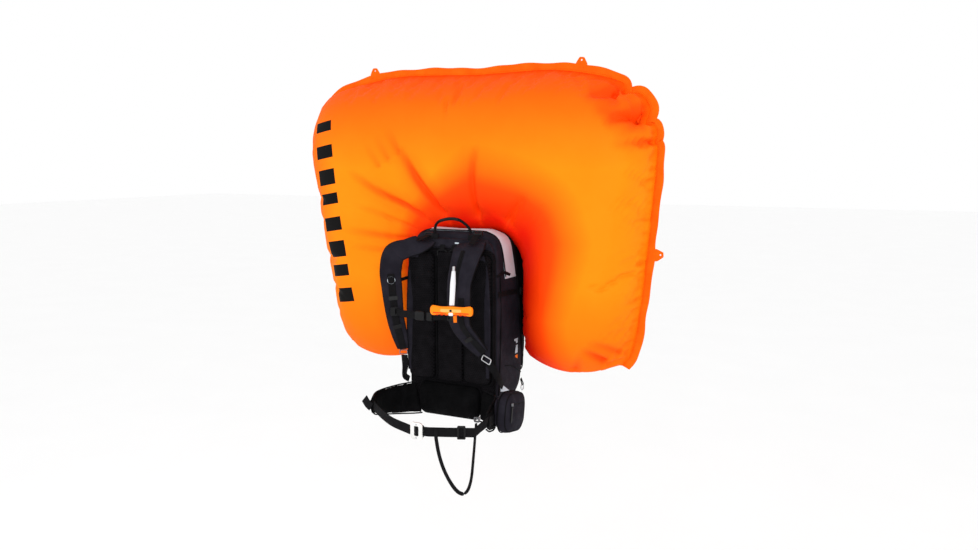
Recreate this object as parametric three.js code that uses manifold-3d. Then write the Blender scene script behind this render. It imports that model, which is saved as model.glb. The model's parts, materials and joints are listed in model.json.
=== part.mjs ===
// Avalanche airbag backpack with its balloon deployed, millimetres, +Z up.
// +X is the right hand of someone facing the harness, -Y is the wearer's side.
// Every part is laid out in pack space: x = 0 mid-pack, z = 0 the pack's underside, y = 0 just behind the
// wearer's back. The whole group is then shifted so that the origin is the middle of the lumbar pad's face.
import * as THREE from 'three';
import { mergeVertices } from 'three/addons/utils/BufferGeometryUtils.js';
import Module from 'manifold-3d';

const wasm = await Module();
wasm.setup();

// ---- driving dimensions ------------------------------------------------------------------------------
const GAP = 0.4;                       // air between pieces that touch
const PACK = { halfWidth: 148, back: 16, front: 246, height: 541, wall: 5 };
const PANEL = { halfWidth: 118, bottom: 75, top: 420 };
const SEAM_SLOPE = 0.2;                // lean of the seam between the pack and the airbag compartment
const SEAM_TOP_Y = 112;
const LUMBAR = { halfWidth: 100, bottom: -8, top: 90, face: -20 };
// the balloon has blown a little further to the left than to the right
const BAG = {
  left: 594, right: 560, bottom: 98, top: 1000, notchHalf: 155, notchTop: 507,
  depth: 268, midY: 190, skin: 2.5,
};
const INLET = { radius: 28, wall: 3, start: [0, 130, 464], end: [0, 182, 612] };
const SLEEVE_TOP = new THREE.Vector3(60, -84, 440);
const SLEEVE_END = new THREE.Vector3(73, -121, 334);
const WEB = 1.8;                       // webbing thickness
const BELT_WEB = 25;                   // hip belt webbing width
const BELT_TURN = 24.2 * Math.PI / 180; // heading of the straight run that the keeper slides on
const HIP_LEFT_TIP = [-141, -189, 56];
const HIP_RIGHT_TIP = [207, -180, 54];
const BUCKLE = new THREE.Vector3(51, -272, 33);
const KEEPER = new THREE.Vector3(165.5, -240.6, 36.5);
const CORD = 10;                       // width of the leg loop's webbing

const COLOUR = {
  charcoal: [0x24212a, 0.85, 0], black: [0x121114, 0.9, 0], grey: [0xc6cbd0, 0.8, 0],
  orange: [0xff7a10, 0.6, 0], plastic: [0x161618, 0.45, 0], steel: [0xb8bcc0, 0.3, 1],
  aluminium: [0xe4e4e2, 0.35, 1], white: [0xe8e8ea, 0.6, 0], gas: [0x9aa0a6, 0.4, 0.8],
  yellow: [0xd8c020, 0.6, 0],
};

const pack = new THREE.Group();
pack.position.set(0, -LUMBAR.face, -(LUMBAR.bottom + LUMBAR.top) / 2);

// ---- helpers -----------------------------------------------------------------------------------------
function add(name, geometry, colour) {
  const [color, roughness, metalness] = COLOUR[colour];
  const mesh = new THREE.Mesh(geometry, new THREE.MeshStandardMaterial({ color, roughness, metalness }));
  mesh.name = name;
  pack.add(mesh);
  return mesh;
}

const vec = (p) => (p.isVector3 ? p.clone() : new THREE.Vector3(...p));
const flat = (points) => points.map((p) => new THREE.Vector2(...p));

function solid(geometry) {
  const bare = new THREE.BufferGeometry();
  bare.setAttribute('position', geometry.getAttribute('position').clone());
  if (geometry.index) bare.setIndex(geometry.index.clone());
  const merged = mergeVertices(bare, 1e-3);
  const vertProperties = new Float32Array(merged.getAttribute('position').array);
  const triVerts = new Uint32Array(merged.index.array);
  return new wasm.Manifold(new wasm.Mesh({ numProp: 3, vertProperties, triVerts }));
}

function surface(body) {
  const mesh = body.getMesh();
  const geometry = new THREE.BufferGeometry();
  geometry.setAttribute('position', new THREE.BufferAttribute(new Float32Array(mesh.vertProperties), 3));
  geometry.setIndex(new THREE.BufferAttribute(new Uint32Array(mesh.triVerts), 1));
  return geometry;
}

// A box given by its two corners.
function block(low, high) {
  const size = high.map((value, axis) => value - low[axis]);
  const middle = high.map((value, axis) => (value + low[axis]) / 2);
  return new THREE.BoxGeometry(...size).translate(...middle);
}

function roundedOutline(width, height, radius) {
  const x = width / 2;
  const y = height / 2;
  const shape = new THREE.Shape();
  shape.moveTo(-x + radius, -y);
  shape.lineTo(x - radius, -y).absarc(x - radius, -y + radius, radius, -Math.PI / 2, 0);
  shape.lineTo(x, y - radius).absarc(x - radius, y - radius, radius, 0, Math.PI / 2);
  shape.lineTo(-x + radius, y).absarc(-x + radius, y - radius, radius, Math.PI / 2, Math.PI);
  shape.lineTo(-x, -y + radius).absarc(-x + radius, -y + radius, radius, Math.PI, 1.5 * Math.PI);
  return shape;
}

// A rounded plate standing in the XZ plane, its middle at `at`, `depth` thick along Y.
function plate(width, height, depth, radius, at, hole) {
  const shape = roundedOutline(width, height, radius);
  if (hole) shape.holes.push(roundedOutline(hole[0], hole[1], hole[2]));
  const geometry = new THREE.ExtrudeGeometry(shape, { depth, bevelEnabled: false, curveSegments: 3 });
  return geometry.rotateX(Math.PI / 2).translate(at[0], at[1] + depth / 2, at[2]);
}

// A closed body through rings that hold the same number of points.
function loft(rings) {
  const count = rings[0].length;
  const index = [];
  for (let i = 0; i + 1 < rings.length; i += 1) {
    for (let j = 0; j < count; j += 1) {
      const a = i * count + j;
      const b = i * count + ((j + 1) % count);
      index.push(a, b, b + count, a, b + count, a + count);
    }
  }
  const last = (rings.length - 1) * count;
  for (let j = 1; j + 1 < count; j += 1) {
    index.push(0, j + 1, j, last, last + j, last + j + 1);
  }
  const points = rings.flat();
  const geometry = new THREE.BufferGeometry().setFromPoints(points);
  let volume = 0;
  for (let k = 0; k < index.length; k += 3) {
    const [a, b, c] = [points[index[k]], points[index[k + 1]], points[index[k + 2]]];
    volume += a.dot(b.clone().cross(c));
  }
  if (volume < 0) {
    for (let k = 0; k < index.length; k += 3) {
      [index[k + 1], index[k + 2]] = [index[k + 2], index[k + 1]];
    }
  }
  geometry.setIndex(index);
  return geometry;
}

// A strap through stations of [point, width, thickness, direction across its width].
function strap(stations, steps, corner = 0) {
  const line = new THREE.CatmullRomCurve3(stations.map((s) => vec(s[0])), false, 'centripetal');
  const rings = [];
  for (let i = 0; i <= steps; i += 1) {
    const t = i / steps;
    const at = t * (stations.length - 1);
    const k = Math.min(Math.floor(at), stations.length - 2);
    const mix = at - k;
    const width = THREE.MathUtils.lerp(stations[k][1], stations[k + 1][1], mix) / 2;
    const thick = THREE.MathUtils.lerp(stations[k][2], stations[k + 1][2], mix) / 2;
    const tangent = line.getTangent(t);
    const across = vec(stations[k][3]).lerp(vec(stations[k + 1][3]), mix);
    across.addScaledVector(tangent, -across.dot(tangent)).normalize();
    const normal = tangent.clone().cross(across);
    const at3 = line.getPoint(t);
    const corners = corner
      ? [[1, 1 - corner], [1 - 0.12, 1], [-1 + 0.12, 1], [-1, 1 - corner],
        [-1, corner - 1], [-1 + 0.12, -1], [1 - 0.12, -1], [1, corner - 1]]
      : [[1, 1], [-1, 1], [-1, -1], [1, -1]];
    rings.push(corners.map(([u, v]) => at3.clone()
      .addScaledVector(across, u * width).addScaledVector(normal, v * thick)));
  }
  return loft(rings);
}

// A round rod or cord through points.
function rod(points, radius, steps, sides = 8) {
  const section = new THREE.Shape();
  for (let i = 0; i < sides; i += 1) {
    const turn = (i / sides) * 2 * Math.PI;
    const [x, y] = [radius * Math.cos(turn), radius * Math.sin(turn)];
    if (i === 0) section.moveTo(x, y);
    else section.lineTo(x, y);
  }
  const extrudePath = new THREE.CatmullRomCurve3(points.map(vec), false, 'centripetal');
  return new THREE.ExtrudeGeometry(section, { steps, extrudePath, bevelEnabled: false });
}

// A straight cylinder between two points.
function cylinder(start, end, radius, sides = 20) {
  const [a, b] = [vec(start), vec(end)];
  const geometry = new THREE.CylinderGeometry(radius, radius, a.distanceTo(b), sides);
  const turn = new THREE.Quaternion().setFromUnitVectors(
    new THREE.Vector3(0, 1, 0), b.clone().sub(a).normalize());
  return geometry.applyQuaternion(turn).translate(...a.lerp(b, 0.5).toArray());
}

// ---- pack body ---------------------------------------------------------------------------------------
// The outer form is where a side profile, a front outline and a plan outline meet; `grow` enlarges it.
function packForm(grow) {
  const side = new THREE.Shape();
  side.moveTo(PACK.back, 0);
  side.lineTo(PACK.back, 505);
  side.splineThru(flat([[30, 531], [70, PACK.height], [112, 531], [160, 500], [208, 437], [238, 350],
    [PACK.front, 270], [240, 190], [220, 130], [192, 60], [165, 10], [150, 0]]));
  const face = new THREE.Shape();
  face.moveTo(-112, 0);
  face.splineThru(flat([[-138, 40], [-146, 140], [-PACK.halfWidth, 300], [-145, 450], [-133, 508],
    [-96, PACK.height]]));
  face.lineTo(96, PACK.height);
  face.splineThru(flat([[133, 508], [145, 450], [PACK.halfWidth, 300], [146, 140], [138, 40], [112, 0]]));
  const plan = new THREE.Shape();
  plan.moveTo(-PACK.halfWidth, PACK.back).lineTo(PACK.halfWidth, PACK.back);
  plan.splineThru(flat([[PACK.halfWidth, 170], [138, 218], [112, 240], [80, PACK.front]]));
  plan.lineTo(-80, PACK.front);
  plan.splineThru(flat([[-112, 240], [-138, 218], [-PACK.halfWidth, 170]]));
  const cut = { bevelEnabled: false, curveSegments: 2 };
  // (y, z) profile extruded along X, (x, z) outline along Y, (x, y) plan along Z
  const bySide = new THREE.ExtrudeGeometry(side, { ...cut, depth: 400 })
    .rotateY(Math.PI / 2).rotateX(Math.PI / 2).translate(-200, 0, 0);
  const byFace = new THREE.ExtrudeGeometry(face, { ...cut, depth: 400 })
    .rotateX(Math.PI / 2).translate(0, 350, 0);
  const byPlan = new THREE.ExtrudeGeometry(plan, { ...cut, depth: 700 }).translate(0, 0, -50);
  const form = solid(bySide).intersect(solid(byFace)).intersect(solid(byPlan));
  const [cx, cy, cz] = [0, (PACK.back + PACK.front) / 2, PACK.height / 2];
  const scale = [(PACK.halfWidth + grow) / PACK.halfWidth,
    (PACK.front - PACK.back + 2 * grow) / (PACK.front - PACK.back), (PACK.height + 2 * grow) / PACK.height];
  return form.translate([-cx, -cy, -cz]).scale(scale).translate([cx, cy, cz]);
}

// Everything in front of the leaning compartment seam, moved by `shift` along Y.
function aheadOfSeam(shift) {
  const y = (z) => SEAM_TOP_Y + (PACK.height - z) * SEAM_SLOPE + shift;
  const outline = new THREE.Shape();
  outline.moveTo(y(700), 700).lineTo(500, 700).lineTo(500, -60).lineTo(y(-60), -60);
  const slab = new THREE.ExtrudeGeometry(outline, { depth: 400, bevelEnabled: false });
  return solid(slab.rotateY(Math.PI / 2).rotateX(Math.PI / 2).translate(-200, 0, 0));
}

const outer = packForm(0);
const skin = outer.subtract(packForm(-PACK.wall));
const inletBore = solid(cylinder([0, 116, 424], [0, 196, 652], INLET.radius + 1.5, 24));
const panelHole = solid(block([-PANEL.halfWidth, 140, PANEL.bottom], [PANEL.halfWidth, 300, PANEL.top]));
const cableHole = solid(cylinder([72, 0, 496], [72, 40, 496], 4, 12));

add('pack_shell', surface(skin.subtract(aheadOfSeam(-GAP / 2)).subtract(panelHole).subtract(cableHole)
  .subtract(inletBore)), 'charcoal');
add('airbag_compartment', surface(
  skin.intersect(aheadOfSeam(GAP / 2)).subtract(panelHole).subtract(inletBore)), 'black');
add('front_panel', surface(skin.intersect(solid(block(
  [-PANEL.halfWidth + 1, 150, PANEL.bottom + 1], [PANEL.halfWidth - 1, 300, PANEL.top - 1])))), 'charcoal');
const bandSkin = packForm(2.2).subtract(packForm(GAP));
add('light_band', surface(bandSkin.intersect(aheadOfSeam(-72)).subtract(aheadOfSeam(-5))
  .intersect(solid(block([-200, 0, 392], [200, 300, 600])))), 'grey');

// ---- back system -------------------------------------------------------------------------------------
const backY = PACK.back - GAP;
add('back_panel', plate(276, 468, 10.6, 26, [0, backY - 5.3, 243]), 'black');
const padBack = backY - 10.6 - GAP;
add('spine_mesh', plate(80, 374, 8, 12, [0, padBack - 4, 281]), 'black');
for (const [name, sign] of [['left', -1], ['right', 1]]) {
  add(`back_pad_${name}`, plate(90, 374, 17, 20, [sign * 90, padBack - 8.5, 281]), 'black');
}
add('lumbar_pad', plate(2 * LUMBAR.halfWidth, LUMBAR.top - LUMBAR.bottom, padBack - LUMBAR.face, 22,
  [0, (padBack + LUMBAR.face) / 2, (LUMBAR.top + LUMBAR.bottom) / 2]), 'black');
add('yoke', surface(solid(plate(232, 26, 8, 8, [0, backY - 4, 493])).subtract(cableHole)), 'charcoal');
add('frame_sheet', plate(226, 440, 2, 20, [0, 24, 250]), 'plastic');
add('frame_stay', rod([[-88, 29.5, 40], [-88, 29.5, 380], [-84, 29.5, 430], [-60, 29.5, 456],
  [0, 29.5, 462], [60, 29.5, 456], [84, 29.5, 430], [88, 29.5, 380], [88, 29.5, 40]], 3, 24, 6), 'aluminium');

// ---- haul loop ---------------------------------------------------------------------------------------
add('haul_loop', rod([[-50, 4, 521], [-46, 2, 540], [-28, -3, 559], [4, -7, 569], [34, -8, 570],
  [54, -5, 559], [64, 0, 541], [66, 4, 524]], 4.6, 20), 'black');

// ---- shoulder straps ---------------------------------------------------------------------------------
const LEFT_ACROSS = [0.8, 0.6, 0];
add('shoulder_strap_left', strap([
  [[-76, 2, 497], 62, 8, [1, 0, 0]],
  [[-77, -20, 492], 66, 12, [1, 0, 0.1]],
  [[-114, -46, 478], 66, 13, [0.9, -0.1, 0.4]],
  [[-152, -62, 448], 62, 13, [0.85, 0.45, 0.15]],
  [[-160, -74, 408], 60, 13, LEFT_ACROSS],
  [[-145, -86, 362], 58, 13, [0.78, 0.62, 0]],
  [[-128, -92, 330], 52, 12, [0.75, 0.66, 0]],
  [[-127, -92, 282], 48, 12, [0.75, 0.66, 0]],
  [[-122, -74, 232], 42, 10, [0.8, 0.6, 0]],
  [[-125, -52, 190], 32, 7, [0.9, 0.4, 0]],
], 26, 0.55), 'charcoal');
add('shoulder_strap_right', strap([
  [[72, 0, 496], 84, 8, [1, 0, 0.06]],
  [[76, -28, 482], 90, 12, [1, 0.08, 0]],
  [[76, -60, 440], 80, 13, [1, 0.05, 0]],
  [[75, -82, 392], 72, 13, [1, 0, 0]],
  [[78, -90, 342], 70, 13, [1, 0, 0]],
  [[82, -90, 284], 62, 12, [1, 0, 0]],
  [[102, -70, 240], 52, 10, [1, 0.1, 0.3]],
  [[130, -50, 200], 36, 7, [1, 0.2, 0.45]],
], 26, 0.55), 'charcoal');

for (const [name, x, z] of [['left', -70, 514], ['right', 88, 524]]) {
  add(`load_lifter_buckle_${name}`, plate(26, 16, 9, 3, [x, 6, z]), 'plastic');
}
add('load_lifter_left', strap([[[-70, 0, 513], 20, WEB, [1, 0, 0]], [[-71, -14, 511], 20, WEB, [1, 0, 0]],
  [[-88, -32, 500.5], 20, WEB, [1, 0, 0.2]]], 6), 'black');
add('load_lifter_right', strap([[[88, 0.3, 520], 20, WEB, [1, 0, 0]], [[88, -14, 512], 20, WEB, [1, 0, 0]],
  [[87, -32, 497], 20, WEB, [1, 0, 0]]], 6), 'black');

// lower ends: a metal ring on each strap, and the webbing down to the pack
add('strap_ring_right', plate(30, 17, 3, 4, [0, 0, 0], [22, 9, 2]).rotateY(0.45).rotateX(-0.45)
  .translate(139, -46, 182), 'steel');
add('strap_ring_left', plate(24, 14, 3, 4, [0, 0, 0], [17, 7, 2]).rotateX(-0.4).rotateZ(0.4)
  .translate(-126, -49, 178), 'steel');
add('strap_webbing_right', strap([[[143, -40.5, 171], 20, WEB, [1, 0.2, 0.45]],
  [[153, -24, 146], 20, WEB, [0.8, 0.5, 0.4]], [[158, -2, 116], 20, WEB, [0.2, 0.9, 0.5]],
  [[156, 24, 92], 20, WEB, [0, 0.7, 0.7]]], 10), 'black');
add('strap_webbing_left', strap([[[-127, -43.5, 168], 18, WEB, [0.9, 0.4, 0]],
  [[-133, -30, 134], 18, WEB, [0.7, 0.7, 0]], [[-150, -6, 96], 18, WEB, [0.2, 0.9, 0.3]],
  [[-154, 24, 78], 18, WEB, [0, 0.8, 0.5]]], 10), 'black');

// ---- trigger on the right strap ----------------------------------------------------------------------
const pull = SLEEVE_END.clone().sub(SLEEVE_TOP).normalize();
const sleeveAcross = [0.98, 0.12, 0];
add('trigger_sleeve', strap([
  [SLEEVE_TOP.clone().addScaledVector(pull, 13), 10, 7, sleeveAcross],
  [SLEEVE_TOP.clone().addScaledVector(pull, 45), 15, 8, sleeveAcross],
  [SLEEVE_END.clone().addScaledVector(pull, -6), 14, 8, sleeveAcross],
], 8, 0.5), 'white');
add('sleeve_ferrule', cylinder(SLEEVE_TOP, SLEEVE_TOP.clone().addScaledVector(pull, 12.5), 4, 10), 'steel');
// stations along the grip: [distance from its middle, height, depth]
const grip = [
  [-60, 20, 13], [-52, 27, 16], [-30, 22, 17], [0, 24, 18], [30, 22, 17], [52, 27, 16], [60, 20, 13],
];
const gripTurn = 0.21;
const handleAt = SLEEVE_END.clone().addScaledVector(pull, 8.5);
add('trigger_handle', loft(grip.map(([along, tall, deep]) => {
  const ring = [];
  for (let i = 0; i < 10; i += 1) {
    const turn = (i / 10) * 2 * Math.PI;
    ring.push(new THREE.Vector3(along, (deep / 2) * Math.cos(turn), (tall / 2) * Math.sin(turn)));
  }
  return ring;
})).rotateZ(gripTurn).translate(...handleAt.toArray()), 'orange');
add('handle_tab', strap([[[86, -127, 313.5], 10, 2.5, sleeveAcross],
  [[88, -129, 296], 9, 2.5, sleeveAcross]], 2), 'orange');

// ---- sternum strap -----------------------------------------------------------------------------------
const STERNUM_Z = 305;
add('sternum_slider_left', plate(22, 24, 4, 3, [0, 0, 0]).rotateZ(0.7)
  .translate(-121.5, -101.5, STERNUM_Z), 'plastic');
add('sternum_slider_right', plate(20, 24, 4, 3, [58, -100.5, STERNUM_Z]), 'plastic');
add('sternum_webbing_left', strap([
  [[-111, -103.5, STERNUM_Z], 20, WEB, [0, 0, 1]],
  [[-84, -110, STERNUM_Z - 2], 20, WEB, [0, 0, 1]],
  [[-48, -111, STERNUM_Z - 3], 20, WEB, [0, 0, 1]],
], 8), 'black');
add('sternum_webbing_right', strap([
  [[8, -111, STERNUM_Z - 2], 20, WEB, [0, 0, 1]],
  [[28, -109, STERNUM_Z - 1], 20, WEB, [0, 0, 1]],
  [[47, -101, STERNUM_Z], 20, WEB, [0, 0, 1]],
], 6), 'black');
add('sternum_buckle_female', surface(solid(plate(30, 25, 9, 4, [-32, -111, STERNUM_Z - 3]))
  .subtract(solid(block([-34, -113.2, STERNUM_Z - 12], [0, -108.8, STERNUM_Z + 6])))), 'plastic');
add('sternum_buckle_male', surface(solid(plate(17, 23, 8, 3, [-1.5, -111, STERNUM_Z - 3]))
  .add(solid(block([-30, -112.4, STERNUM_Z - 10.5], [-9, -109.6, STERNUM_Z + 4.5])))), 'plastic');

// ---- hip belt ----------------------------------------------------------------------------------------
add('hip_wing_left', strap([
  [[-116, -9, 30], 92, 8, [0, 0, 1]],
  [[-152, -34, 31], 90, 13, [0, 0, 1]],
  [[-172, -80, 34], 78, 14, [0, 0, 1]],
  [[-168, -130, 42], 66, 13, [0, 0, 1]],
  [HIP_LEFT_TIP, 40, 8, [0, 0, 1]],
], 16, 0.5), 'black');
add('hip_wing_right', strap([
  [[116, -9, 32], 90, 8, [0, 0, 1]],
  [[152, -24, 34], 88, 12, [0, 0, 1]],
  [[176, -76, 38], 82, 12, [0, 0, 1]],
  [[193, -134, 45], 66, 11, [0, 0, 1]],
  [HIP_RIGHT_TIP, 40, 8, [0, 0, 1]],
], 16, 0.5), 'black');
add('hip_webbing_left', strap([
  [[-134.5, -191.5, 55], BELT_WEB, WEB, [0, 0, 1]], [[-100, -218, 50], BELT_WEB, WEB, [0, 0, 1]],
  [[-40, -250, 40], BELT_WEB, WEB, [0, 0, 1]], [[31, -270, 33], BELT_WEB, WEB, [0, 0, 1]],
], 14), 'black');
add('hip_tail', strap([
  [[-147, -192.5, 58], BELT_WEB, WEB, [0, 0, 1]], [[-162, -190, 61], BELT_WEB, WEB, [0, 0.1, 1]],
  [[-178, -182, 60], BELT_WEB, WEB, [0, 0.1, 1]],
], 4), 'black');
add('buckle_frame', plate(33, 48, 5, 6, BUCKLE.toArray(), [12, 30, 3]), 'aluminium');
add('buckle_hook', surface(solid(plate(30, 32, 3, 3, [BUCKLE.x + 4, BUCKLE.y + 5.2, BUCKLE.z]))
  .add(solid(block([BUCKLE.x - 5, BUCKLE.y + 0.6, BUCKLE.z - 12],
    [BUCKLE.x - 1, BUCKLE.y + 4, BUCKLE.z + 12])))),
'plastic');
const heading = new THREE.Vector3(Math.cos(BELT_TURN), Math.sin(BELT_TURN), 0);
const runStart = KEEPER.clone().addScaledVector(heading, -34);
const runEnd = KEEPER.clone().addScaledVector(heading, 34);
add('hip_webbing_right', loft([[71, -267, 33.5], [84, -268.5, 34.5], runStart, KEEPER, runEnd,
  [199, -216, 44], [207.5, -189.5, 53]].map((p, i, all) => {
  const at = vec(p);
  const before = vec(all[Math.max(i - 1, 0)]);
  const after = vec(all[Math.min(i + 1, all.length - 1)]);
  const tangent = after.sub(before).normalize();
  const normal = tangent.cross(new THREE.Vector3(0, 0, 1)).normalize().multiplyScalar(WEB / 2);
  return [[1, 1], [1, -1], [-1, -1], [-1, 1]].map(([side, up]) => new THREE.Vector3(
    at.x + side * normal.x, at.y + side * normal.y, at.z + up * BELT_WEB / 2));
})), 'black');
add('hip_keeper', surface(solid(plate(19, 33, 7, 3, [0, 0, 0]))
  .subtract(solid(block([-15, -1.7, -13.4], [15, 1.7, 13.4])))).rotateZ(BELT_TURN)
  .translate(...KEEPER.toArray()), 'plastic');

// pocket on the right wing: it faces straight to the right and, like the wing, rises towards the front
const POCKET = { length: 122, height: 104, depth: 38, inner: 7.3, bevel: 9, tilt: -0.17 };
const pocketFrame = new THREE.Group();
pocketFrame.position.set(190, -50, 47);
pocketFrame.rotation.x = POCKET.tilt;
pack.add(pocketFrame);
function addToPocket(name, geometry, colour) {
  const mesh = add(name, geometry, colour);
  pocketFrame.add(mesh);
}
const pocketBody = new THREE.ExtrudeGeometry(roundedOutline(POCKET.length - 12, POCKET.height - 12, 26), {
  depth: POCKET.depth - 2 * POCKET.bevel, bevelEnabled: true, bevelThickness: POCKET.bevel, bevelSize: 6,
  bevelSegments: 2, curveSegments: 3,
}).rotateX(Math.PI / 2).rotateZ(Math.PI / 2).translate(POCKET.inner + POCKET.bevel, 0, 0);
addToPocket('hip_pocket', pocketBody, 'charcoal');
const zipFace = POCKET.inner + POCKET.depth + GAP;
addToPocket('pocket_slider', block([zipFace, -46, 20], [zipFace + 4, -38, 29]), 'plastic');
addToPocket('pocket_pull', block([zipFace + 1, -44.5, -24], [zipFace + 3.4, -39.5, 18.6]), 'plastic');

// ---- leg loop ----------------------------------------------------------------------------------------
// Flat webbing hung over the belt in front, down past the pack's underside and up behind the belt.
const LEG_ROUTE = [
  [112, -278, 50], [112.5, -279, 38], [113, -279, 25], [114.5, -277.5, 10], [117, -276, -8],
  [121, -274, -28], [127, -271, -50], [135, -267, -72], [144.5, -261, -94], [154, -254, -112],
  [163, -247, -123],
  [172, -241, -126], [179, -235.5, -119], [184, -231, -104], [187, -227, -84], [188.5, -224, -60],
  [189.5, -221, -34], [190.5, -218, -8], [191, -215, 16], [191.5, -212, 38], [192, -210, 56],
];
add('leg_loop', rod(LEG_ROUTE, CORD / 2, 40, 8), 'black');
add('leg_loop_clip', plate(16, 14, 4, 3, [192, -206, 64.5], [9, 7, 1.5]), 'steel');

// ---- side hardware -----------------------------------------------------------------------------------
const sideBuckle = [6, 16, 22];
for (const [name, sign] of [['left', -1], ['right', 1]]) {
  const geometry = new THREE.BoxGeometry(...sideBuckle);
  const x = sign * (PACK.halfWidth + GAP + sideBuckle[0] / 2);
  add(`side_buckle_${name}`, geometry.translate(x, 158, 347), 'plastic');
}
const RING = new THREE.Vector3(155, 160, 57.6);
add('ring_tab', surface(solid(block([RING.x - 8.5, 158, 62], [RING.x + 5.5, 162, 76]))
  .subtract(solid(block([RING.x - 2.8, 150, 63.8], [RING.x + 2.8, 170, 69.4])))), 'black');
add('ski_ring', new THREE.TorusGeometry(9, 1.5, 6, 16).rotateY(Math.PI / 2)
  .translate(...RING.toArray()), 'steel');

// ---- inflation system inside the pack ----------------------------------------------------------------
add('gas_cartridge', new THREE.LatheGeometry(flat([[0, 0], [22, 0], [29, 6], [30, 16], [30, 170], [26, 186],
  [12, 198], [10, 200], [10, 214], [0, 214]]), 20)
  .rotateX(Math.PI / 2).translate(0, 130, 172), 'gas');
add('inflator_body', new THREE.LatheGeometry(flat([[0, 0], [16, 0], [16, 14], [34, 22], [34, 62], [26, 74],
  [0, 74]]), 20).rotateX(Math.PI / 2).translate(0, 130, 387), 'plastic');
add('inflator_lever', block([-5, 84, 414], [5, 92, 454]), 'yellow');
const inletAxis = vec(INLET.end).sub(vec(INLET.start)).normalize();
const inletOuter = solid(cylinder(INLET.start, INLET.end, INLET.radius, 20));
const inletInner = solid(cylinder(vec(INLET.start).addScaledVector(inletAxis, -20),
  vec(INLET.end).addScaledVector(inletAxis, 20), INLET.radius - INLET.wall, 20));
add('airbag_collar', surface(inletOuter.subtract(inletInner)
  .subtract(solid(block([-60, 60, 380], [60, 200, 462])))), 'plastic');
add('trigger_cable', rod([[0, 66, 444], [14, 62, 470], [40, 52, 488], [66, 36, 495], [72, 20, 496],
  [72, 12.5, 496]], 2.2, 14, 6), 'yellow');

// ---- airbag ------------------------------------------------------------------------------------------
// A horseshoe pillow: each section runs from the notch around the pack to the outer edge, and swells
// between its two seams. `inset` draws the edges in and thins it, for the inside of the skin.
function bagOutline(inset) {
  const top = BAG.top - inset;
  const low = BAG.bottom + inset;
  const notch = BAG.notchHalf + inset;
  const roof = BAG.notchTop + inset;
  const half = (edge, taper) => [
    [[notch, low + 52], [edge - taper[0], low + 38]],
    [[notch - 1, low + 150], [edge - taper[1], low + 150]],
    [[notch - 2, low + 260], [edge - taper[2], low + 330]],
    [[notch - 6, roof - 46], [edge - taper[3], low + 540]],
    [[notch - 26, roof - 10], [edge - 4, top - 175]],
    [[notch - 62, roof - 1], [edge - 52, top - 70]],
    [[notch - 104, roof], [edge - 250, top - 6]],
  ];
  const right = half(BAG.right - inset, [78, 48, 26, 8]).reverse();
  const left = half(BAG.left - inset, [122, 84, 48, 16]).map(([a, b]) => [[-a[0], a[1]], [-b[0], b[1]]]);
  return [...left, [[0, roof], [0, top - 4]], ...right];
}

function pillow(inset, thin, along, across) {
  const pairs = bagOutline(inset);
  const curve = (end) => new THREE.CatmullRomCurve3(
    pairs.map((pair) => new THREE.Vector3(pair[end][0], 0, pair[end][1])), false, 'centripetal');
  const [inner, outerEdge] = [curve(0), curve(1)];
  const spot = (i, j, sign) => {
    const s = i / along;
    const t = (1 - Math.cos((j / across) * Math.PI)) / 2;
    const point = inner.getPoint(s).lerp(outerEdge.getPoint(s), t);
    const ends = 1 - Math.abs(2 * s - 1) ** 9;
    const swell = Math.sqrt(Math.max(0, 1 - Math.abs(2 * t - 1) ** 2.3) * Math.max(0, ends));
    // the lower ends round off between their corners
    const droop = Math.sin(t * Math.PI) * 40 * Math.abs(2 * s - 1) ** 8;
    return new THREE.Vector3(point.x, BAG.midY + sign * (BAG.depth / 2 - thin) * swell, point.z - droop);
  };
  const points = [];
  const index = [];
  const id = new Map();
  const at = (i, j, sign) => {
    const edge = i === 0 || j === 0 || i === along || j === across;
    const key = `${i},${j},${edge ? 0 : sign}`;
    if (!id.has(key)) {
      id.set(key, points.length);
      points.push(spot(i, j, edge ? 0 : sign));
    }
    return id.get(key);
  };
  for (const sign of [-1, 1]) {
    for (let i = 0; i < along; i += 1) {
      for (let j = 0; j < across; j += 1) {
        const quad = [at(i, j, sign), at(i + 1, j, sign), at(i + 1, j + 1, sign), at(i, j + 1, sign)];
        if (sign > 0) quad.reverse();
        index.push(quad[0], quad[1], quad[2], quad[0], quad[2], quad[3]);
      }
    }
  }
  const geometry = new THREE.BufferGeometry().setFromPoints(points);
  geometry.setIndex(index);
  return solid(geometry);
}

function outward(body) {
  return body.volume() < 0 ? solid(surface(body).scale(-1, 1, 1)) : body;
}

const bag = outward(pillow(0, 0, 32, 8)).subtract(outward(pillow(5, BAG.skin, 32, 8)));
add('airbag', surface(bag.subtract(inletBore)), 'orange');
const tabs = [['left', -368, 994, 0.06], ['right', 316, 994, -0.05], ['side', 546, 468, -1.48]];
for (const [name, x, z, turn] of tabs) {
  const tab = new THREE.Shape();
  tab.moveTo(-14, 0).lineTo(14, 0).lineTo(5, 15).lineTo(-5, 15);
  tab.holes.push(new THREE.Path().absarc(0, 8, 2.6, 0, 2 * Math.PI));
  const geometry = new THREE.ExtrudeGeometry(tab, { depth: 2, bevelEnabled: false, curveSegments: 5 });
  geometry.rotateX(Math.PI / 2).rotateY(-turn).translate(x, BAG.midY + 1, z);
  add(`airbag_tab_${name}`, geometry, 'orange');
}

export default pack;
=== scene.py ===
# Avalanche airbag backpack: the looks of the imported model, built round its frame.
# Shapes are laid out in pack space, in millimetres: x = 0 mid-pack, y = 0 the wearer's side of the back
# panel, z = 0 the pack's underside. place() takes them to the row frame in metres.
import json
import math
import random

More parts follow.
